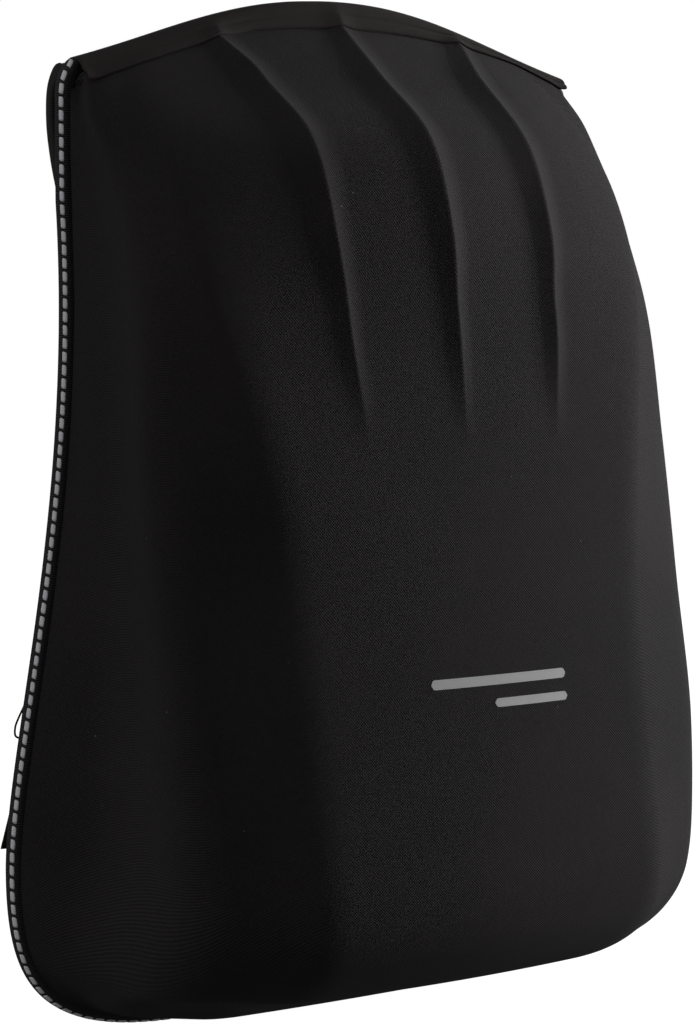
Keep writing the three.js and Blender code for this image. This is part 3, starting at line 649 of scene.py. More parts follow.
@dataclass
class HardShell:
    """The moulded shell: an open tray with three ribs on its upper front."""

    outline: Outline
    depth: float = 158
    wall: float = 3
    inset: float = 4.5
    rim_front: float = 4.8
    rib_height: float = 4.4
    rib_skirt: float = 1.15
    rib_half_width: float = 14
    rib_clear: float = 1.15
    flank_power: float = 1.15
    crease_crispness: float = 0.6
    shoulder_softness: float = 0.34
    valley_softness: float = 0.36
    guide_depth: float = 0.3
    guide_height: float = 0.45
    core_half_width: float = 0.46
    core_low: float = 0.17
    core_high: float = 0.88
    rows: int = 150
    lines: dict[str, np.ndarray] = field(init=False)

    def __post_init__(self) -> None:
        """Puts the station tables in millimetres and their feet on the seam."""
        scale = np.array([self.outline.half_width, -self.depth, self.outline.height])
        tables = {
            "centre": CENTRE_ROWS, "crease": CREASE_ROWS, "shoulder": SHOULDER_ROWS, "valley": VALLEY_ROWS,
        }
        self.lines = {name: np.array(rows, float) * scale for name, rows in tables.items()}
        shares = np.array([self.outline.share_at_height(rise * self.outline.height) for rise in RIM_RISES])
        rim = self.outline.at(shares, self.inset)
        self.lines["rim"] = np.stack([rim[:, 0], np.full(len(rim), -self.rim_front), rim[:, 1]], 1)
        low = np.linspace(0, 0.2, 300)
        foot, base = self.outline.at(low, self.inset), self.outline.at(low)
        for name in tables:
            across = self.lines[name][0, 0]
            height = np.interp(np.interp(across, base[:, 0], low), low, foot[:, 1])
            self.lines[name][0] = (across, -self.rim_front, height)

    def rib_profile(self, offset: np.ndarray) -> np.ndarray:
        """A rib's height: a plain flank on the bag's left of its crest and a soft skirt on its right.

        Args:
            offset: The distance to the bag's right of the crest, as a share of the half width.

        Returns:
            A share of the rib's height.
        """
        flank = np.clip(1 + offset, 0, 1) ** self.flank_power
        skirt = np.clip(1 - offset / self.rib_skirt, 0, 1) ** 2
        return np.where(offset < 0, flank, skirt)

    def half_section(self, share: float, hand: Hand) -> np.ndarray:
        """One half of the shell's section, from its middle to its rim, laid on the right.

        Args:
            share: The share of the stations.
            hand: The side that it is for.

        Returns:
            The section's points.
        """
        read = {name: smooth_curve(line, np.array([share]))[0] for name, line in self.lines.items()}
        centre, crease = read["centre"], read["crease"]
        half = self.rib_half_width * eased(RIB_WIDTHS, share)
        place = self.outline.half_width * eased(RIB_PLACES, share)
        height = self.rib_height * eased(RIB_HEIGHTS, share)
        room = 1 - (place + self.rib_clear * half) / crease[0]
        softness = min(self.crease_crispness * eased(CREASE_SOFTNESS, share), room)
        edge = crease[0] * (1 - softness)
        near = smooth_curve(self.lines["centre"], np.array([max(share - 0.01, 0), min(share + 0.01, 1)]))
        uphill = near[1] - near[0]
        outwards = unit(np.array([0, -uphill[2], uphill[1]]))
        spans = ((0, half, 9), (half, place - half, 6), (place - half, place, 9), (place, place + half, 9),
                 (place + half, edge, 9))
        across = np.concatenate([np.linspace(low, high, count)[:-1] for low, high, count in spans] + [[edge]])
        mix = (1 - (across / crease[0]) ** 2)[:, None]
        front = crease * (1 - mix) + centre * mix
        front[:, 0] = across
        offsets = (hand.value * across / half, hand.value * (across - place) / half)
        profile = np.maximum(*(self.rib_profile(offset) for offset in offsets))
        front += outwards * (height * profile)[:, None]
        guide = crease + (front[-1] - crease) / softness
        corners = (
            (guide, crease, read["shoulder"], softness),
            (crease, read["shoulder"], read["valley"], self.shoulder_softness),
            (read["shoulder"], read["valley"], read["rim"], self.valley_softness),
        )
        parts = [front[:-1]]
        for before, at, after, soft in corners:
            rounded = self.rounded(before, at, after, soft)
            if len(parts) > 1:
                gap = np.linspace(0, 1, 5)[1:-1, None]
                parts.append(parts[-1][-1] * (1 - gap) + rounded[0] * gap)
            parts.append(rounded)
        gap = np.linspace(0, 1, 7)[1:, None]
        parts.append(parts[-1][-1] * (1 - gap) + read["rim"] * gap)
        return np.vstack(parts)

    @staticmethod
    def rounded(before: np.ndarray, at: np.ndarray, after: np.ndarray, softness: float) -> np.ndarray:
        """Points of a rounded corner between two straight panels.

        Args:
            before: The point before the corner.
            at: The corner.
            after: The point after it.
            softness: How much of each panel the rounding takes.

        Returns:
            Nine points round the corner.
        """
        step = np.linspace(0, 1, 9)[:, None]
        start = at + (before - at) * softness
        end = at + (after - at) * softness
        return (1 - step) ** 2 * start + 2 * step * (1 - step) * at + step**2 * end

    def section(self, share: float) -> np.ndarray:
        """The whole section, from the left rim to the right rim."""
        left, right = (self.half_section(share, hand) for hand in Hand)
        return np.vstack([left[1:][::-1] * np.array([-1, 1, 1]), right])

    def inward(self, grid: np.ndarray) -> np.ndarray:
        """The wall's inner points for a grid of outer points.

        Args:
            grid: The outer points by row and column.

        Returns:
            The inner points.
        """
        up = np.gradient(grid, axis=0)
        across = np.gradient(grid, axis=1)
        normals = unit(np.cross(up, across))
        guide = grid + np.array([0, self.guide_depth * self.depth, -self.guide_height * self.outline.height])
        normals *= np.where((normals * guide).sum(-1, keepdims=True) < 0, -1, 1)
        core = self.core_half_width * self.outline.half_width
        low, high = self.core_low * self.outline.height, self.core_high * self.outline.height
        middle = np.stack([
            np.clip(grid[..., 0], -core, core), grid[..., 1], np.clip(grid[..., 2], low, high),
        ], -1)
        on_seam = np.abs(grid[..., 1:2] + self.rim_front) < 0.001
        normals = np.where(on_seam, unit(grid - middle), normals)
        inner = grid - normals * self.wall
        inner[..., 1] = np.minimum(inner[..., 1], -self.rim_front)
        return inner

    def build(self) -> bpy.types.Object:
        """Builds the shell's mesh."""
        grid = np.stack([self.section(share) for share in np.linspace(0, 1, self.rows + 1)])
        rings = np.concatenate([grid, self.inward(grid)[:, ::-1]], axis=1)
        return lofted("moulded_shell", rings)


@dataclass
class SeamTape:
    """The ribbed tape folded round the seam, with a broken reflective stripe on its outer front edge."""

    outline: Outline
    width: float = 8
    thickness: float = 9
    squareness: float = 0.6
    front_squareness: float = 0.95
    steps: int = 520
    sides: int = 28
    stripe_turn: float = 38
    dash_pitch: float = 6.2
    dash_length: float = 4.8
    dash_width: float = 2.5
    dash_thickness: float = 0.3
    dash_bend: float = 8.5
    dash_proud: float = 0.14
    dash_sides: int = 20
    dash_slant: float = 0.25
    stripe_lean: float = 35
    stripe_top: float = 0.93

    def build(self) -> bpy.types.Object:
        """Builds the tape as a hoop."""
        loops = []
        for side in range(self.sides):
            inset, depth = self.surface(360 * side / self.sides)
            flat = self.outline.loop(self.steps, inset)
            loops.append(np.stack([flat[:, 0], np.full(len(flat), depth), flat[:, 1]], 1))
        return lofted("ribbed_seam_tape", np.stack(loops, axis=1), closed=True, even=True)

    def surface(self, degrees: float) -> tuple[float, float]:
        """A place on the tape's section, rounder over its outer front edge than elsewhere.

        Args:
            degrees: The turn round the section, from the outer edge towards the back.

        Returns:
            How far in from the outline it is, and its depth.
        """
        across, through = math.cos(math.radians(degrees)), math.sin(math.radians(degrees))
        power = self.front_squareness if across > 0 > through else self.squareness
        reach = [math.copysign(abs(value) ** power, value) for value in (across, through)]
        return 0.5 * self.width * (1 - reach[0]), 0.5 * self.thickness * reach[1]

    def dash(self) -> bpy.types.Object:
        """One dash: a thin slanted film with round corners, bent over the tape's edge."""
        length, width, sides = self.dash_length / 2, self.dash_width / 2, self.dash_sides
        turns = np.linspace(0, 2 * np.pi, sides, endpoint=False)
        x = length * signed_power(np.cos(turns), 0.35)
        z = width * signed_power(np.sin(turns), 0.5)
        x = x + self.dash_slant * z
        rim = np.stack([x, z, -(z**2) / self.dash_bend], 1)
        rings = [rim * np.array([0.55, 0.5, 0.25]), rim, rim - np.array([0, 0, 1]) * self.dash_thickness]
        points = np.vstack([[0, 0, 0], *rings]) * MM
        faces = [[0, 1 + side, 1 + (side + 1) % sides] for side in range(sides)]
        for ring in range(2):
            for side in range(sides):
                start, beside = 1 + sides * ring + side, 1 + sides * ring + (side + 1) % sides
                faces.append([start, start + sides, beside + sides, beside])
        faces.append(list(range(3 * sides, 2 * sides, -1)))
        mesh = bpy.data.meshes.new("dash")
        mesh.from_pydata(points.tolist(), [], faces)
        facing_out(mesh)
        mesh.shade_smooth()
        return bpy.data.objects.new("dash", mesh)

    def stripe_line(self) -> np.ndarray:
        """The dashes' line on the tape, from one end of the top down round the base to the other."""
        inset, depth = self.surface(-self.stripe_turn)
        turn = math.radians(self.stripe_lean)
        inset, depth = inset - self.dash_proud * math.cos(turn), depth - self.dash_proud * math.sin(turn)
        loop = self.outline.loop(360, inset)
        loop = np.roll(loop, -int(np.argmax(loop[:, 1])), axis=0)
        flat = loop[loop[:, 1] < self.stripe_top * self.outline.height]
        return np.stack([flat[:, 0], np.full(len(flat), depth), flat[:, 1]], 1)


def curve_object(name: str, runs: Sequence[np.ndarray]) -> bpy.types.Object:
    """A curve of straight steps through points in seam millimetres.

    Args:
        name: The object's name.
        runs: The points of each run.

    Returns:
        The linked object.
    """
    data = bpy.data.curves.new(name, "CURVE")
    data.dimensions = "3D"
    for run in runs:
        spline = data.splines.new("POLY")
        spline.points.add(len(run) - 1)
        spline.points.foreach_set("co", np.hstack([to_frame(run), np.ones((len(run), 1))]).ravel())
    return linked(name, data)


@dataclass(frozen=True)
class RepeatAlong:
    """A Geometry Nodes tree that sets copies of a small piece along a curve, read out as a plain mesh."""

    name: str
    pitch: float
    lean: float = 0.0
    seed: int = 7

    def tree(self, material: bpy.types.Material) -> tuple[bpy.types.NodeTree, dict[str, str]]:
        """Builds the tree.

        Args:
            material: What the copies are made of.

        Returns:
            The tree and its inputs' identifiers by name.
        """
        tree = bpy.data.node_groups.new(self.name, "GeometryNodeTree")
        face = tree.interface
        face.new_socket("Geometry", in_out="INPUT", socket_type="NodeSocketGeometry")
        kinds = (("Piece", "Object"), ("Pitch", "Float"), ("Lean", "Float"), ("Seed", "Int"))
        made = {}
        for name, kind in kinds:
            made[name] = face.new_socket(name, in_out="INPUT", socket_type=f"NodeSocket{kind}")
        face.new_socket("Geometry", in_out="OUTPUT", socket_type="NodeSocketGeometry")
        graph = Graph(tree)
        inlet = graph.node("NodeGroupInput")
        outlet = graph.node("NodeGroupOutput")
        spaced = graph.node(
            "GeometryNodeResampleCurve",
            {"Curve": inlet.outputs["Geometry"], "Length": inlet.outputs["Pitch"]}, mode="LENGTH",
        )
        tangent = graph.node("GeometryNodeInputTangent").outputs[0]
        sideways = graph.node(
            "ShaderNodeVectorMath", {0: (0, 1, 0), 1: tangent}, operation="CROSS_PRODUCT",
        ).outputs[0]
        angle = graph.maths("RADIANS", inlet.outputs["Lean"])
        outward = graph.node(
            "ShaderNodeVectorMath", {0: sideways, "Scale": graph.maths("COSINE", angle)}, operation="SCALE",
        ).outputs[0]
        forward = graph.node(
            "ShaderNodeVectorMath", {0: (0, -1, 0), "Scale": graph.maths("SINE", angle)}, operation="SCALE",
        ).outputs[0]
        facing = graph.node("ShaderNodeVectorMath", {0: outward, 1: forward}, operation="ADD").outputs[0]
        first = graph.node("FunctionNodeAlignRotationToVector", {"Vector": tangent}, axis="X")
        turned = graph.node(
            "FunctionNodeAlignRotationToVector", {"Rotation": first.outputs[0], "Vector": facing},
            axis="Z", pivot_axis="X",
        )
        size = graph.node(
            "FunctionNodeRandomValue",
            {"Min": (0.96, 0.95, 1), "Max": (1.03, 1.04, 1), "Seed": inlet.outputs["Seed"]},
            data_type="FLOAT_VECTOR",
        )
        piece = graph.node("GeometryNodeObjectInfo", {"Object": inlet.outputs["Piece"]})
        copies = graph.node("GeometryNodeInstanceOnPoints", {
            "Points": spaced.outputs[0], "Instance": piece.outputs["Geometry"], "Rotation": turned.outputs[0],
            "Scale": size.outputs[0],
        })
        real = graph.node("GeometryNodeRealizeInstances", {0: copies.outputs[0]})
        dressed = graph.node("GeometryNodeSetMaterial", {"Geometry": real.outputs[0], "Material": material})
        tree.links.new(dressed.outputs[0], outlet.inputs[0])
        return tree, {name: socket.identifier for name, socket in made.items()}

    def mesh_from(
        self, line: bpy.types.Object, piece: bpy.types.Object, material: bpy.types.Material,
    ) -> bpy.types.Object:
        """Runs the tree over a curve.

        Args:
            line: The curve; it is used up.
            piece: The small piece, longest along its X, facing its Z; it is used up.
            material: What the copies are made of.

        Returns:
            A plain mesh object with all copies.
        """
        tree, inputs = self.tree(material)
        modifier = line.modifiers.new(self.name, "NODES")
        modifier.node_group = tree
        values = {"Piece": piece, "Pitch": self.pitch * MM, "Lean": self.lean, "Seed": self.seed}
        for name, value in values.items():
            modifier[inputs[name]] = value
        bpy.context.view_layer.update()
        mesh = evaluated_mesh(line)
        line.modifiers.remove(modifier)
        bpy.data.objects.remove(line)
        bpy.data.objects.remove(piece)
        return linked(self.name, mesh)


def stitch_piece(length: float = 2.4, radius: float = 0.3) -> bpy.types.Object:
    """One stitch: a small plump loop of thread.

    Args:
        length: Its length.
        radius: Half its thickness.

    Returns:
        The stitch, not linked.
    """
    work = bmesh.new()
    bmesh.ops.create_icosphere(work, subdivisions=1, radius=1)
    for vertex in work.verts:
        vertex.co = Vector((vertex.co.x * length / 2, vertex.co.y * radius, vertex.co.z * radius)) * MM
    mesh = bpy.data.meshes.new("stitch")
    work.to_mesh(mesh)
    work.free()
    mesh.shade_smooth()
    return bpy.data.objects.new("stitch", mesh)


@dataclass
class Collar:
    """The soft folded strip between the shell's top edge and the tape.

    Its foot laps the shell a little all along, and more from lap_from towards the left end.
    """

    shell: HardShell
    wall: float = 3
    drop: float = 0.6
    bulge: float = 2
    gap: float = 0.35
    foot_reach: float = 1 / 28
    half_span: float = 139
    lines: int = 36
    columns: int = 180
    lap: float = 0.026
    lap_least: float = 0.2
    lap_from: float = 35
    lap_ease: float = 75
    lap_proud: float = 1.1
    lap_share: float = 0.4
    hem: float = 0.5
    end_room: float = 4

    def build(self) -> bpy.types.Object:
        """Builds the strip."""
        front = -(self.shell.rim_front + self.wall)
        edge, below = self.shell.section(1), self.shell.section(1 - self.foot_reach)
        feet = edge + unit((edge - below) * np.array([0, 1, 1])) * self.gap
        feet[:, 1] = np.minimum(feet[:, 1], front)
        lapped = self.shell.section(1 - self.lap) + np.array([0, -self.lap_proud, 0])
        x = np.linspace(-self.half_span, self.half_span, self.columns)
        amount = np.clip((-x - self.lap_from) / self.lap_ease, self.lap_least, 1)
        foot = self.line_at(feet, x) * (1 - amount[:, None]) + self.line_at(lapped, x) * amount[:, None]
        top = self.shell.outline.top_at(np.abs(x)) - self.drop
        head = np.stack([x, np.full(len(x), front), top], 1)
        stations = [(share, stand, 0) for share, stand in COLLAR_FOLDS]
        folds = smooth_curve(stations, np.linspace(0, 1, self.lines))
        share, stand = np.clip(folds[:, 0], 0, 1), folds[:, 1]
        strip = foot[:, None] * (1 - share)[None, :, None] + head[:, None] * share[None, :, None]
        strip[..., 1] -= self.bulge * stand
        thin = amount[:, None] * np.clip(1 - share / self.lap_share, 0, 1)[None, :]
        inner = strip.copy()
        inner[..., 1] += self.wall * (1 - thin) + self.hem * thin
        rings = np.concatenate([strip, inner[:, ::-1]], axis=1)
        return lofted("folded_collar", rings)

    def line_at(self, points: np.ndarray, x: np.ndarray) -> np.ndarray:
        """A line of points read at half widths, and carried on straight past its steep ends.

        Args:
            points: The line's points, from left to right.
            x: Where to read it.

        Returns:
            One point for each place.
        """
        keep = points[np.abs(points[:, 0]) < self.half_span - self.end_room]
        read = [np.interp(x, keep[:, 0], keep[:, axis]) for axis in (1, 2)]
        return np.stack([x, *read], 1)


@dataclass
class BackPanel:
    """The padded back, filled out by a short cloth simulation."""

    outline: Outline
    front: float = 4.8
    thickness: float = 18
    edge: float = 5
    inset: float = 6
    rounding: float = 22
    voxel: float = 6
    cap: float = 2.2
    quick_shrink: float = 1.0
    channel_in: float = 6
    channel_reach: float = 9
    channel_depth: float = 2.6
    channel_spread: float = 3.6

    @property
    def back(self) -> float:
        """The depth of the pad's back face."""
        return self.front + self.thickness

    def loop(self, inset: float, depth: float, steps: int = 90) -> np.ndarray:
        """One closed loop of the pad.

        Args:
            inset: How far inside the seam.
            depth: Its depth.
            steps: Steps along each half.

        Returns:
            The loop's points.
        """
        flat = self.outline.loop(steps)
        height, half = self.outline.height, self.outline.half_width
        x = flat[:, 0] * (1 - inset / half)
        z = height / 2 + (flat[:, 1] - height / 2) * (1 - 2 * inset / height)
        return np.stack([x, np.full(len(flat), depth), z], 1)

    def form(self, shrink: float) -> bpy.types.Object:
        """The pad before it is filled, a little thinner than the CAD pad.

        Args:
            shrink: How much thinner on each face.

        Returns:
            A closed mesh object.
        """
        loops = [self.loop(self.inset, self.front + shrink)]
        for share in np.linspace(0, 1, 6):
            angle = share * math.pi / 2
            rise = (self.thickness - self.edge - shrink) * math.sin(angle)
            inset = self.inset + self.rounding * (1 - math.cos(angle))
            loops.append(self.loop(inset, self.front + self.edge + rise))
        return lofted("back_form", np.stack(loops))

    def build(self) -> bpy.types.Object:
        """Builds the pad and fills it."""
        form = self.form(self.cap)
        inflated(form, self.voxel, self.cap)
        pad = joined("padded_back", [form])
        self.press_border(pad)
        return pad

    def press_border(self, pad: bpy.types.Object) -> None:
        """Presses a sewn channel into the pad's back, a little way in from its edge."""
        line = self.loop(self.inset + self.rounding + self.channel_in, 0, 120)[:, (0, 2)]
        for vertex in pad.data.vertices:
            place = np.array([vertex.co.x, vertex.co.z]) / MM
            if vertex.co.y / MM < SEAM_Y + self.front + self.edge:
                continue
            away = float(np.linalg.norm(line - place, axis=1).min())
            if away < self.channel_reach:
                vertex.co.y -= self.channel_depth * MM * math.exp(-((away / self.channel_spread) ** 2))


def inflated(piece: bpy.types.Object, voxel: float, cap: float) -> None:
    """Fills a closed form by cloth simulation, in place.

    Args:
        piece: The closed form.
        voxel: The remesh size in millimetres.
        cap: The furthest that a point may move, in millimetres.
    """
    remesh = piece.modifiers.new("even_faces", "REMESH")
    remesh.mode = "VOXEL"
    remesh.voxel_size = voxel * MM
    even = evaluated_mesh(piece)
    piece.modifiers.clear()
    piece.data = even
    start = np.empty(len(even.vertices) * 3, np.float32)
    even.vertices.foreach_get("co", start)
    cloth = piece.modifiers.new("fill", "CLOTH")
    cloth.settings.use_pressure = True
    cloth.settings.uniform_pressure_force = FILL_PRESSURE
    cloth.settings.effector_weights.gravity = 0
    scene = bpy.context.scene
    for step in range(1, FILL_STEPS + 1):
        scene.frame_set(step)
    moved = piece.evaluated_get(bpy.context.evaluated_depsgraph_get()).to_mesh()
    end = np.empty_like(start)
    moved.vertices.foreach_get("co", end)
    piece.modifiers.clear()
    shift = (end - start).reshape(-1, 3)
    reach = np.linalg.norm(shift, axis=1, keepdims=True)
    shift *= np.minimum(1, cap * MM / np.maximum(reach, 1e-9))
    piece.data.vertices.foreach_set("co", (start.reshape(-1, 3) + shift).ravel())
    smoother = piece.modifiers.new("even_surface", "SUBSURF")
    smoother.levels = smoother.render_levels = 1
    fine = evaluated_mesh(piece)
    piece.modifiers.clear()
    piece.data = fine
    fine.shade_smooth()
    scene.frame_set(1)


def swept(
    name: str, centres: np.ndarray, axis: np.ndarray, width: np.ndarray, thickness: np.ndarray,
    sides: int, squareness: float, slide: np.ndarray | None = None,
) -> bpy.types.Object:
    """A band swept along points, with its wide side along an axis.

    Args:
        name: The object's name.
        centres: The route.
        axis: The direction of the wide side.
        width: The width at each point.
        thickness: The thickness at each point.
        sides: Points round the section.
        squareness: 1 for a round section, towards 0 for a square one.
        slide: How far each section moves along the axis.

    Returns:
        The linked object.
    """
    tangent = unit(np.gradient(centres, axis=0))
    through = unit(np.cross(tangent, axis))
    angle = 2 * np.pi * (np.arange(sides) + 0.5) / sides
    reach = math.cos(math.pi / sides) ** squareness
    wide = 0.5 * signed_power(np.cos(angle), squareness) / reach
    thick = 0.5 * signed_power(np.sin(angle), squareness) / reach
    moved = centres if slide is None else centres + axis * slide[:, None]
    rings = (
        moved[:, None] + axis * (width[:, None] * wide)[..., None]
        + through[:, None] * (thickness[:, None] * thick)[..., None]
    )
    return lofted(name, rings, even=True)


@dataclass
class ShoulderStrap:
    """A padded shoulder strap with cloth binding along both its edges."""

    hand: Hand
    panel_back: float
    top: float = 450
    drop: float = 235
    spacing: float = 94
    splay: float = 25
    arch: float = 23
    root_lift: float = 1.5
    clearance: float = 0.3
    thickness: float = 10
    width: float = 64
    end_width: float = 34
    end_thickness: float = 5
    taper_from: float = 0.55
    steps: int = 110
    binding_in: float = 1.4
    binding_width: float = 3.4
    stitch_in: float = 4.6
    stitch_sunk: float = 0.42

    def route(self) -> tuple[np.ndarray, np.ndarray, np.ndarray]:
        """The strap's centre line, widths and thicknesses."""
        lying = self.panel_back + self.clearance + self.thickness / 2
        root = (self.hand.value * self.spacing, self.panel_back + self.clearance + self.root_lift, self.top)
        stations = [root]
        for splay, arch, drop in STRAP_ROUTE:
            across = self.hand.value * (self.spacing + splay * self.splay)
            stations.append((across, lying + arch * self.arch, self.top - drop * self.drop))
        shares = np.linspace(0, 1, self.steps + 1)
        centres = smooth_curve(stations, shares)
        part = np.clip((shares - self.taper_from) / (1 - self.taper_from), 0, 1)
        taper = part * part * (3 - 2 * part)
        width = self.width + (self.end_width - self.width) * taper
        thickness = self.thickness + (self.end_thickness - self.thickness) * taper
        return centres, width, thickness

    def build(self) -> bpy.types.Object:
        """Builds the pad, a little crowned and set in from its binding."""
        centres, width, thickness = self.route()
        return swept(f"strap_pad_{self.hand.label}", centres, ACROSS, width - 1.2, thickness - 0.6, 28, 0.42)

    def binding(self) -> bpy.types.Object:
        """Builds the binding on both edges."""
        centres, width, thickness = self.route()
        edges = []
        for side in (-1, 1):
            slide = side * (width / 2 - self.binding_in)
            size = np.full(len(centres), self.binding_width)
            edge = swept("edge", centres, ACROSS, size, thickness * 0.72 + 0.4, 14, 0.7, slide)
            edges.append(edge)
        return joined(f"strap_binding_{self.hand.label}", edges)

    def stitch_lines(self) -> list[np.ndarray]:
        """Lines of stitches beside the binding, on the strap's outer face."""
        centres, width, thickness = self.route()
        tangent = unit(np.gradient(centres, axis=0))
        through = unit(np.cross(tangent, ACROSS))
        through *= np.sign(through[:, 1:2] + 1e-9)
        lines = []
        for side in (-1, 1):
            across = ACROSS * (side * (width / 2 - self.stitch_in))[:, None]
            line = centres + across + through * (thickness / 2 - self.stitch_sunk)[:, None]
            lines.append(line[6:-4])
        return lines


@dataclass
class Webbing:
    """A flat strip of woven webbing along a route."""

    name: str
    route: np.ndarray
    axis: np.ndarray
    width: float = 25
    thickness: float = 2

    def build(self) -> bpy.types.Object:
        """Builds the strip with round edges."""
        count = len(self.route)
        width, thickness = np.full(count, self.width), np.full(count, self.thickness)
        return swept(self.name, self.route, self.axis, width, thickness, 16, 0.35)


@dataclass
class StrapEnd:
    """What hangs below a shoulder strap: its buckle, the webbing down to the corner, and the loose tail."""

    hand: Hand
    strap: ShoulderStrap
    half_width: float = 176.5
    buckle_width: float = 36
    buckle_length: float = 30
    buckle_thickness: float = 5
    buckle_slot: float = 5
    buckle_bar: float = 5
    webbing_width: float = 25
    webbing_thickness: float = 2
    anchor_height: float = 66
    anchor_inset: float = 33
    tail_height: float = 88
    tail_inset: float = 23
    clearance: float = 0.3
    buckle_bevel: float = 0.5
    box_foot: float = 3
    box_head: float = 22
    box_half: float = 9

    @property
    def buckle_top(self) -> float:
        """The height of the buckle's upper edge."""
        return self.strap.top - self.strap.drop - 2 * self.clearance

    @property
    def across(self) -> float:
        """Where the buckle is across the bag."""
        return self.hand.value * (self.strap.spacing + self.strap.splay)

    def buckle(self) -> bpy.types.Object:
        """Builds the buckle: a rounded frame with two slots and soft edges."""
        data = bpy.data.curves.new("buckle", "CURVE")
        data.dimensions = "2D"
        data.fill_mode = "BOTH"
        bevel = self.buckle_bevel
        slot_half = self.webbing_width / 2 + 1
        middle = self.buckle_length / 2
        slot_place = middle - self.buckle_bar - self.buckle_slot / 2
        shapes = [(0.0, self.buckle_width / 2 - bevel, middle - bevel, 4.0)]
        shapes += [(place, slot_half, self.buckle_slot / 2, 1.2) for place in (slot_place, -slot_place)]
        for place, half_x, half_y, radius in shapes:
            outline = self.rounded_box(half_x, half_y, radius) + np.array([0, place])
            spline = data.splines.new("POLY")
            spline.points.add(len(outline) - 1)
            flat = np.hstack([outline * MM, np.zeros((len(outline), 1)), np.ones((len(outline), 1))])
            spline.points.foreach_set("co", flat.ravel())
            spline.use_cyclic_u = True
        data.extrude = (self.buckle_thickness / 2 - bevel) * MM
        data.bevel_depth = bevel * MM
        data.bevel_resolution = 2
        flat_piece = linked("buckle", data)
        mesh = evaluated_mesh(flat_piece)
        bpy.data.objects.remove(flat_piece)
        points = np.empty(len(mesh.vertices) * 3, np.float32)
        mesh.vertices.foreach_get("co", points)
        x, up, out = points.reshape(-1, 3).T / MM
        y = self.strap.panel_back + self.clearance + self.buckle_thickness / 2 + out
        placed_points = to_frame(np.stack([x + self.across, y, up + self.buckle_top - middle], 1))
        mesh.vertices.foreach_set("co", placed_points.astype(np.float32).ravel())
        work = bmesh.new()
        work.from_mesh(mesh)
        bmesh.ops.remove_doubles(work, verts=work.verts, dist=0.00001)
        bmesh.ops.recalc_face_normals(work, faces=work.faces)
        work.to_mesh(mesh)
        work.free()
        mesh.shade_smooth()
        mesh.set_sharp_from_angle(angle=math.radians(40))
        return linked(f"ladder_buckle_{self.hand.label}", mesh)

    @staticmethod
    def rounded_box(half_x: float, half_y: float, radius: float) -> np.ndarray:
        """A rectangle with round corners.

        Args:
            half_x: Half its width.
            half_y: Half its height.
            radius: Its corner radius.

        Returns:
            Its points, anticlockwise.
        """
        corners = []
        for quarter, (side_x, side_y) in enumerate(((1, 1), (-1, 1), (-1, -1), (1, -1))):
            turn = np.linspace(quarter, quarter + 1, 7) * math.pi / 2
            centre = np.array([side_x * (half_x - radius), side_y * (half_y - radius)])
            corners.append(centre + radius * np.stack([np.cos(turn), np.sin(turn)], 1))
        return np.vstack(corners)

    def straight(self, name: str, lying: float, top: float, inset: float, foot: float) -> bpy.types.Object:
        """Straight webbing from the buckle down and out.

        Args:
            name: The start of the piece's name.
            lying: The depth it lies at.
            top: The height it starts at.
            inset: How far inside the bag's side it ends.
            foot: The height it ends at.

        Returns:
            The linked object.
        """
        start = np.array([self.across, lying, top])
        end = np.array([self.hand.value * (self.half_width - inset), lying, foot])
        route = start + (end - start) * np.linspace(0, 1, 50)[:, None]
        return Webbing(f"{name}_{self.hand.label}", route, ACROSS).build()

    def lower(self) -> bpy.types.Object:
        """Builds the webbing from the buckle down to the bag's corner."""
        lying = self.strap.panel_back + self.clearance + self.webbing_thickness / 2
        top = self.buckle_top - self.buckle_length - self.clearance
        return self.straight("anchor_webbing", lying, top, self.anchor_inset, self.anchor_height)

    def tail(self) -> bpy.types.Object:
        """Builds the loose tail, which hangs from behind the buckle."""
        buckle_back = self.strap.panel_back + 2 * self.clearance + self.buckle_thickness
        behind = buckle_back + self.webbing_thickness / 2
        top = self.buckle_top - self.buckle_bar
        return self.straight("loose_tail", behind, top, self.tail_inset, self.tail_height)

    def stitch_lines(self) -> list[np.ndarray]:
        """Lines of stitches that hold the lower webbing to the back."""
        surface = self.strap.panel_back + self.clearance + self.webbing_thickness - STITCH_SUNK
        middle, half = self.hand.value * (self.half_width - self.anchor_inset), self.box_half
        low, high = self.anchor_height + self.box_foot, self.anchor_height + self.box_head
        lean = (self.across - middle) / (self.buckle_top - self.buckle_length - self.anchor_height)
        corners = [(-half, low), (half, low), (half, high), (-half, high)]
        box = [(middle + x + lean * (z - self.anchor_height), surface, z) for x, z in corners]
        return [dense(box + box[:1]), dense([box[0], box[2]]), dense([box[1], box[3]])]


def dense(corners: Sequence) -> np.ndarray:
    """Points every half millimetre along straight runs between corners."""
    corners = np.asarray(corners, float)
    runs = []
    for start, end in zip(corners[:-1], corners[1:]):
        count = max(int(np.linalg.norm(end - start) * 2), 2)
        runs.append(start + (end - start) * np.linspace(0, 1, count, endpoint=False)[:, None])
    return np.vstack([*runs, corners[-1:]])


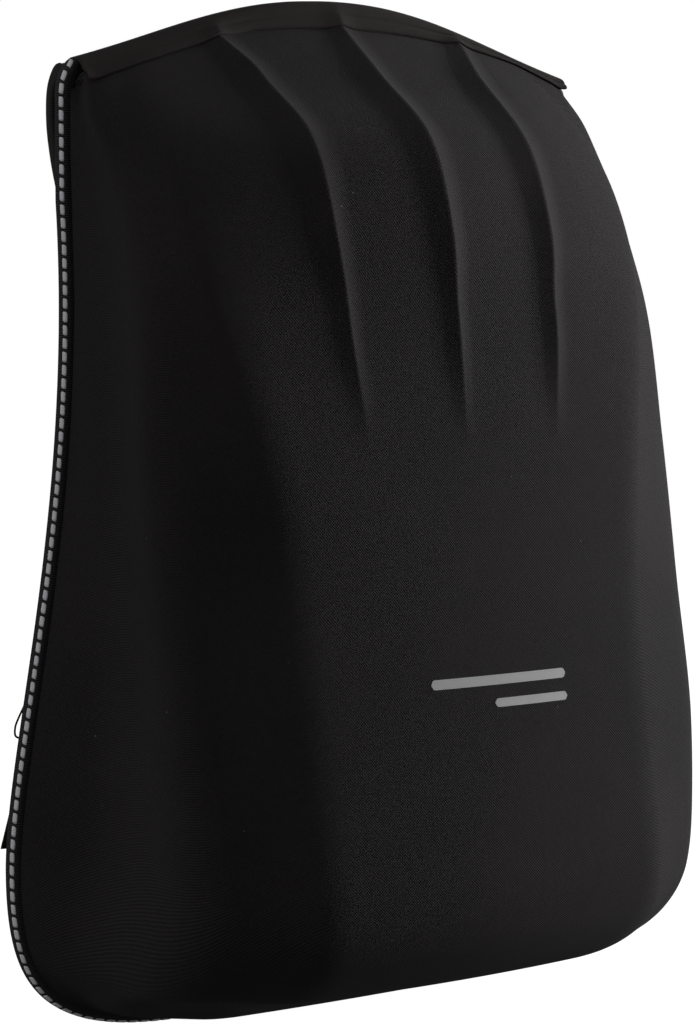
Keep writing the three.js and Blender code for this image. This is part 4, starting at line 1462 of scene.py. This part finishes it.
@dataclass
class HaulLoop:
    """The webbing loop to lift the bag by."""

    panel_back: float
    length: float = 104
    rise: float = 26
    height: float = 436
    clearance: float = 0.3
    thickness: float = 2
    seams: tuple[float, ...] = (0.91, 0.96)
    seam_half: float = 10

    def build(self) -> bpy.types.Object:
        """Builds the loop."""
        lying = self.panel_back + self.clearance + self.thickness / 2
        stations = [(0.5 * x * self.length, lying + up * self.rise, self.height) for x, up in HAUL_ROUTE]
        return Webbing("haul_webbing", smooth_curve(stations, np.linspace(0, 1, 90)), UPWARDS).build()

    def stitch_lines(self) -> list[np.ndarray]:
        """Lines of stitches at both ends."""
        surface = self.panel_back + self.clearance + self.thickness - STITCH_SUNK
        low, high = self.height - self.seam_half, self.height + self.seam_half
        lines = []
        for side in (-1, 1):
            for place in self.seams:
                x = side * place * self.length / 2
                lines.append(dense([(x, surface, low), (x, surface, high)]))
        return lines


@dataclass
class PrintedBars:
    """Two plain reflective bars printed low on the front, in place of any lettering."""

    shell: bpy.types.Object
    right: float = 44.5
    bars: tuple[tuple[float, float, float], ...] = ((76, 4.5, 178.5), (42, 4, 168))
    proud: float = 0.12
    thickness: float = 0.35

    def build(self) -> bpy.types.Object:
        """Lays the bars on the shell."""
        tree = BVHTree.FromObject(self.shell, bpy.context.evaluated_depsgraph_get())
        made = []
        for width, height, middle in self.bars:
            columns = np.linspace(self.right - width, self.right, int(width) + 1)
            rings = []
            for x in columns:
                closeness = min(x - columns[0], columns[-1] - x)
                half = 0.5 * height * min(1.0, math.sqrt(max(closeness, 0.02) / (0.3 * height)))
                rows = np.linspace(middle - half, middle + half, 6)
                outer = [self.on_shell(tree, x, z, self.proud) for z in rows]
                inner = [self.on_shell(tree, x, z, self.proud - self.thickness) for z in rows]
                rings.append(outer + inner[::-1])
            made.append(lofted("bar", np.array(rings)))
        return joined("printed_bars", made)

    @staticmethod
    def on_shell(tree: BVHTree, x: float, z: float, lift: float) -> tuple[float, float, float]:
        """A point over the shell's front.

        Args:
            tree: The shell's faces.
            x: Its place across.
            z: Its height.
            lift: How far it stands off the surface.

        Returns:
            The point in seam millimetres.
        """
        hit = tree.ray_cast(Vector((x * MM, -1.0, z * MM)), Vector((0, 1, 0)))[0]
        point = hit - Vector((0, lift * MM, 0))
        return point.x / MM, point.y / MM - SEAM_Y, point.z / MM


@dataclass
class ThinCord:
    """The thin cord that loops out behind the seam, low on the left."""

    diameter: float = 1.0

    def build(self) -> bpy.types.Object:
        route = smooth_curve(CORD_ROUTE, np.linspace(0, 1, 31))
        cord = curve_object("thin_cord", [route])
        cord.data.bevel_depth = self.diameter / 2 * MM
        cord.data.bevel_resolution = 3
        cord.data.use_fill_caps = True
        placed(cord, CORD.material(), ["cord_loop"])
        return cord


@dataclass
class Studio:
    """The camera at the photograph's angle, a pale floor, a pale backdrop and soft light."""

    camera_place: tuple[float, float, float] = (-725.034, -1161.085, 369.484)
    turn: float = 32.426
    pitch: float = 5.19
    lens: float = 96.67
    sensor: float = 36
    ambient_high: float = 0.15
    ambient_low: float = 0.07
    key_from: tuple[float, float, float] = (0.95, -0.25, 0.06)
    key_strength: float = 4.2
    fill_from: tuple[float, float, float] = (-0.8, 0.12, 0.4)
    fill_strength: float = 0.62
    key_soft: float = 35
    floor_radius: float = 2.2
    floor_sunk: float = 0.0004
    backdrop_radius: float = 14

    def camera(self) -> None:
        """Makes the camera."""
        data = bpy.data.cameras.new("camera")
        data.lens = self.lens
        data.sensor_width = self.sensor
        data.clip_start, data.clip_end = 0.05, 100
        made = linked("camera", data)
        made.location = to_frame(np.array(self.camera_place))
        turn, pitch = math.radians(self.turn), math.radians(self.pitch)
        ahead = Vector((math.sin(turn) * math.cos(pitch), math.cos(turn) * math.cos(pitch), -math.sin(pitch)))
        made.rotation_mode = "QUATERNION"
        made.rotation_quaternion = ahead.to_track_quat("-Z", "Y")
        bpy.context.scene.camera = made

    @staticmethod
    def glowing(name: str, base: float, roughness: float) -> bpy.types.Material:
        """A matt material that glows white.

        Args:
            name: The material's name.
            base: The grey of its own colour.
            roughness: Its roughness.

        Returns:
            The new material.
        """
        made = bpy.data.materials.new(name)
        made.use_nodes = True
        inputs = made.node_tree.nodes["Principled BSDF"].inputs
        inputs["Base Color"].default_value = (base, base, base, 1)
        inputs["Roughness"].default_value = roughness
        inputs["Specular IOR Level"].default_value = 0
        inputs["Emission Color"].default_value = WHITE
        inputs["Emission Strength"].default_value = 1.0
        return made

    def floor(self) -> None:
        """Makes the floor, a round pale disc that lights nothing above it."""
        work = bmesh.new()
        bmesh.ops.create_circle(work, cap_ends=True, segments=96, radius=self.floor_radius)
        mesh = bpy.data.meshes.new("floor")
        work.to_mesh(mesh)
        work.free()
        floor = linked("floor", mesh)
        floor.location.z = -self.floor_sunk
        mesh.materials.append(self.glowing("pale_floor", 0.2, 0.9))
        floor.visible_diffuse = False
        floor.visible_glossy = False

    def backdrop(self) -> None:
        """Makes the backdrop, a large pale dome that only the camera sees."""
        work = bmesh.new()
        bmesh.ops.create_uvsphere(work, u_segments=48, v_segments=24, radius=self.backdrop_radius)
        mesh = bpy.data.meshes.new("backdrop")
        work.to_mesh(mesh)
        work.free()
        dome = linked("backdrop", mesh)
        mesh.materials.append(self.glowing("pale_backdrop", 0, 1))
        dome.visible_diffuse = dome.visible_glossy = dome.visible_transmission = dome.visible_shadow = False

    def lights(self) -> None:
        """Makes the ambient light, the soft key light from the right and a weak fill from the left."""
        scene = bpy.context.scene
        world = bpy.data.worlds.new("soft_room")
        world.use_nodes = True
        graph = Graph(world.node_tree)
        place = graph.node("ShaderNodeTexCoord").outputs["Generated"]
        split = graph.node("ShaderNodeSeparateXYZ", {0: place})
        height = graph.maths("MULTIPLY_ADD", split.outputs[2], 1.2, 0.5)
        share = graph.node("ShaderNodeClamp", {0: height}).outputs[0]
        low = (self.ambient_low,) * 3
        high = (self.ambient_high,) * 3
        sky = world.node_tree.nodes["Background"]
        world.node_tree.links.new(graph.mixed(share, low, high), sky.inputs["Color"])
        scene.world = world
        self.sun("key", Vector(self.key_from), self.key_strength, self.key_soft)
        self.sun("fill", Vector(self.fill_from), self.fill_strength, self.key_soft)

    def sun(self, name: str, towards: Vector, strength: float, soft: float) -> None:
        """Makes a distant soft light.

        Args:
            name: Its name.
            towards: The direction from the bag to the light.
            strength: Its strength.
            soft: Its angular size in degrees.
        """
        data = bpy.data.lights.new(name, "SUN")
        data.energy = strength
        data.angle = math.radians(soft)
        lamp = linked(name, data)
        lamp.rotation_mode = "QUATERNION"
        lamp.rotation_quaternion = towards.to_track_quat("Z", "Y")

    def build(self) -> None:
        """Sets the whole stage, apart from the camera."""
        bpy.context.scene.view_settings.view_transform = "Standard"
        self.floor()
        self.backdrop()
        self.lights()


def main() -> None:
    """Builds the backpack piece by piece on its frame."""
    logging.basicConfig(level=logging.INFO, format="%(message)s")
    studio = Studio()
    studio.camera()
    ThinCord().build()
    outline = Outline()
    shell = HardShell(outline)
    body = placed(shell.build(), SHELL_CLOTH.material(), ["shell"])
    placed(PrintedBars(body).build(), PRINT.material())
    tape = SeamTape(outline)
    placed(tape.build(), TAPE_CLOTH.material(), ["seam_tape"])
    film = REFLECTIVE.material()
    line = curve_object("stripe_line", [tape.stripe_line()])
    dashes = RepeatAlong("reflective_dashes", tape.dash_pitch, lean=tape.stripe_lean)
    placed(dashes.mesh_from(line, tape.dash(), film), film)
    placed(Collar(shell).build(), COLLAR_CLOTH.material(), ["collar"])
    panel = BackPanel(outline)
    placed(panel.build(), PANEL_CLOTH.material(), ["back_panel"])
    mesh_cloth, binding = MESH_CLOTH.material(), BINDING_CLOTH.material()
    webbing, plastic = WEBBING_CLOTH.material(), PLASTIC.material()
    stitches = []
    for hand in Hand:
        strap = ShoulderStrap(hand, panel.back)
        placed(strap.build(), mesh_cloth, [f"shoulder_strap_{hand.label}"])
        placed(strap.binding(), binding)
        end = StrapEnd(hand, strap)
        placed(end.buckle(), plastic, [f"strap_buckle_{hand.label}"])
        placed(end.lower(), webbing, [f"lower_webbing_{hand.label}"])
        placed(end.tail(), webbing, [f"webbing_tail_{hand.label}"])
        stitches += strap.stitch_lines() + end.stitch_lines()
    haul = HaulLoop(panel.back)
    placed(haul.build(), webbing, ["haul_loop"])
    stitches += haul.stitch_lines()
    thread = THREAD.material()
    seams = curve_object("seams", stitches)
    sewn = RepeatAlong("stitches", STITCH_PITCH).mesh_from(seams, stitch_piece(), thread)
    placed(sewn, thread)
    studio.build()


if __name__ == "__main__":
    main()
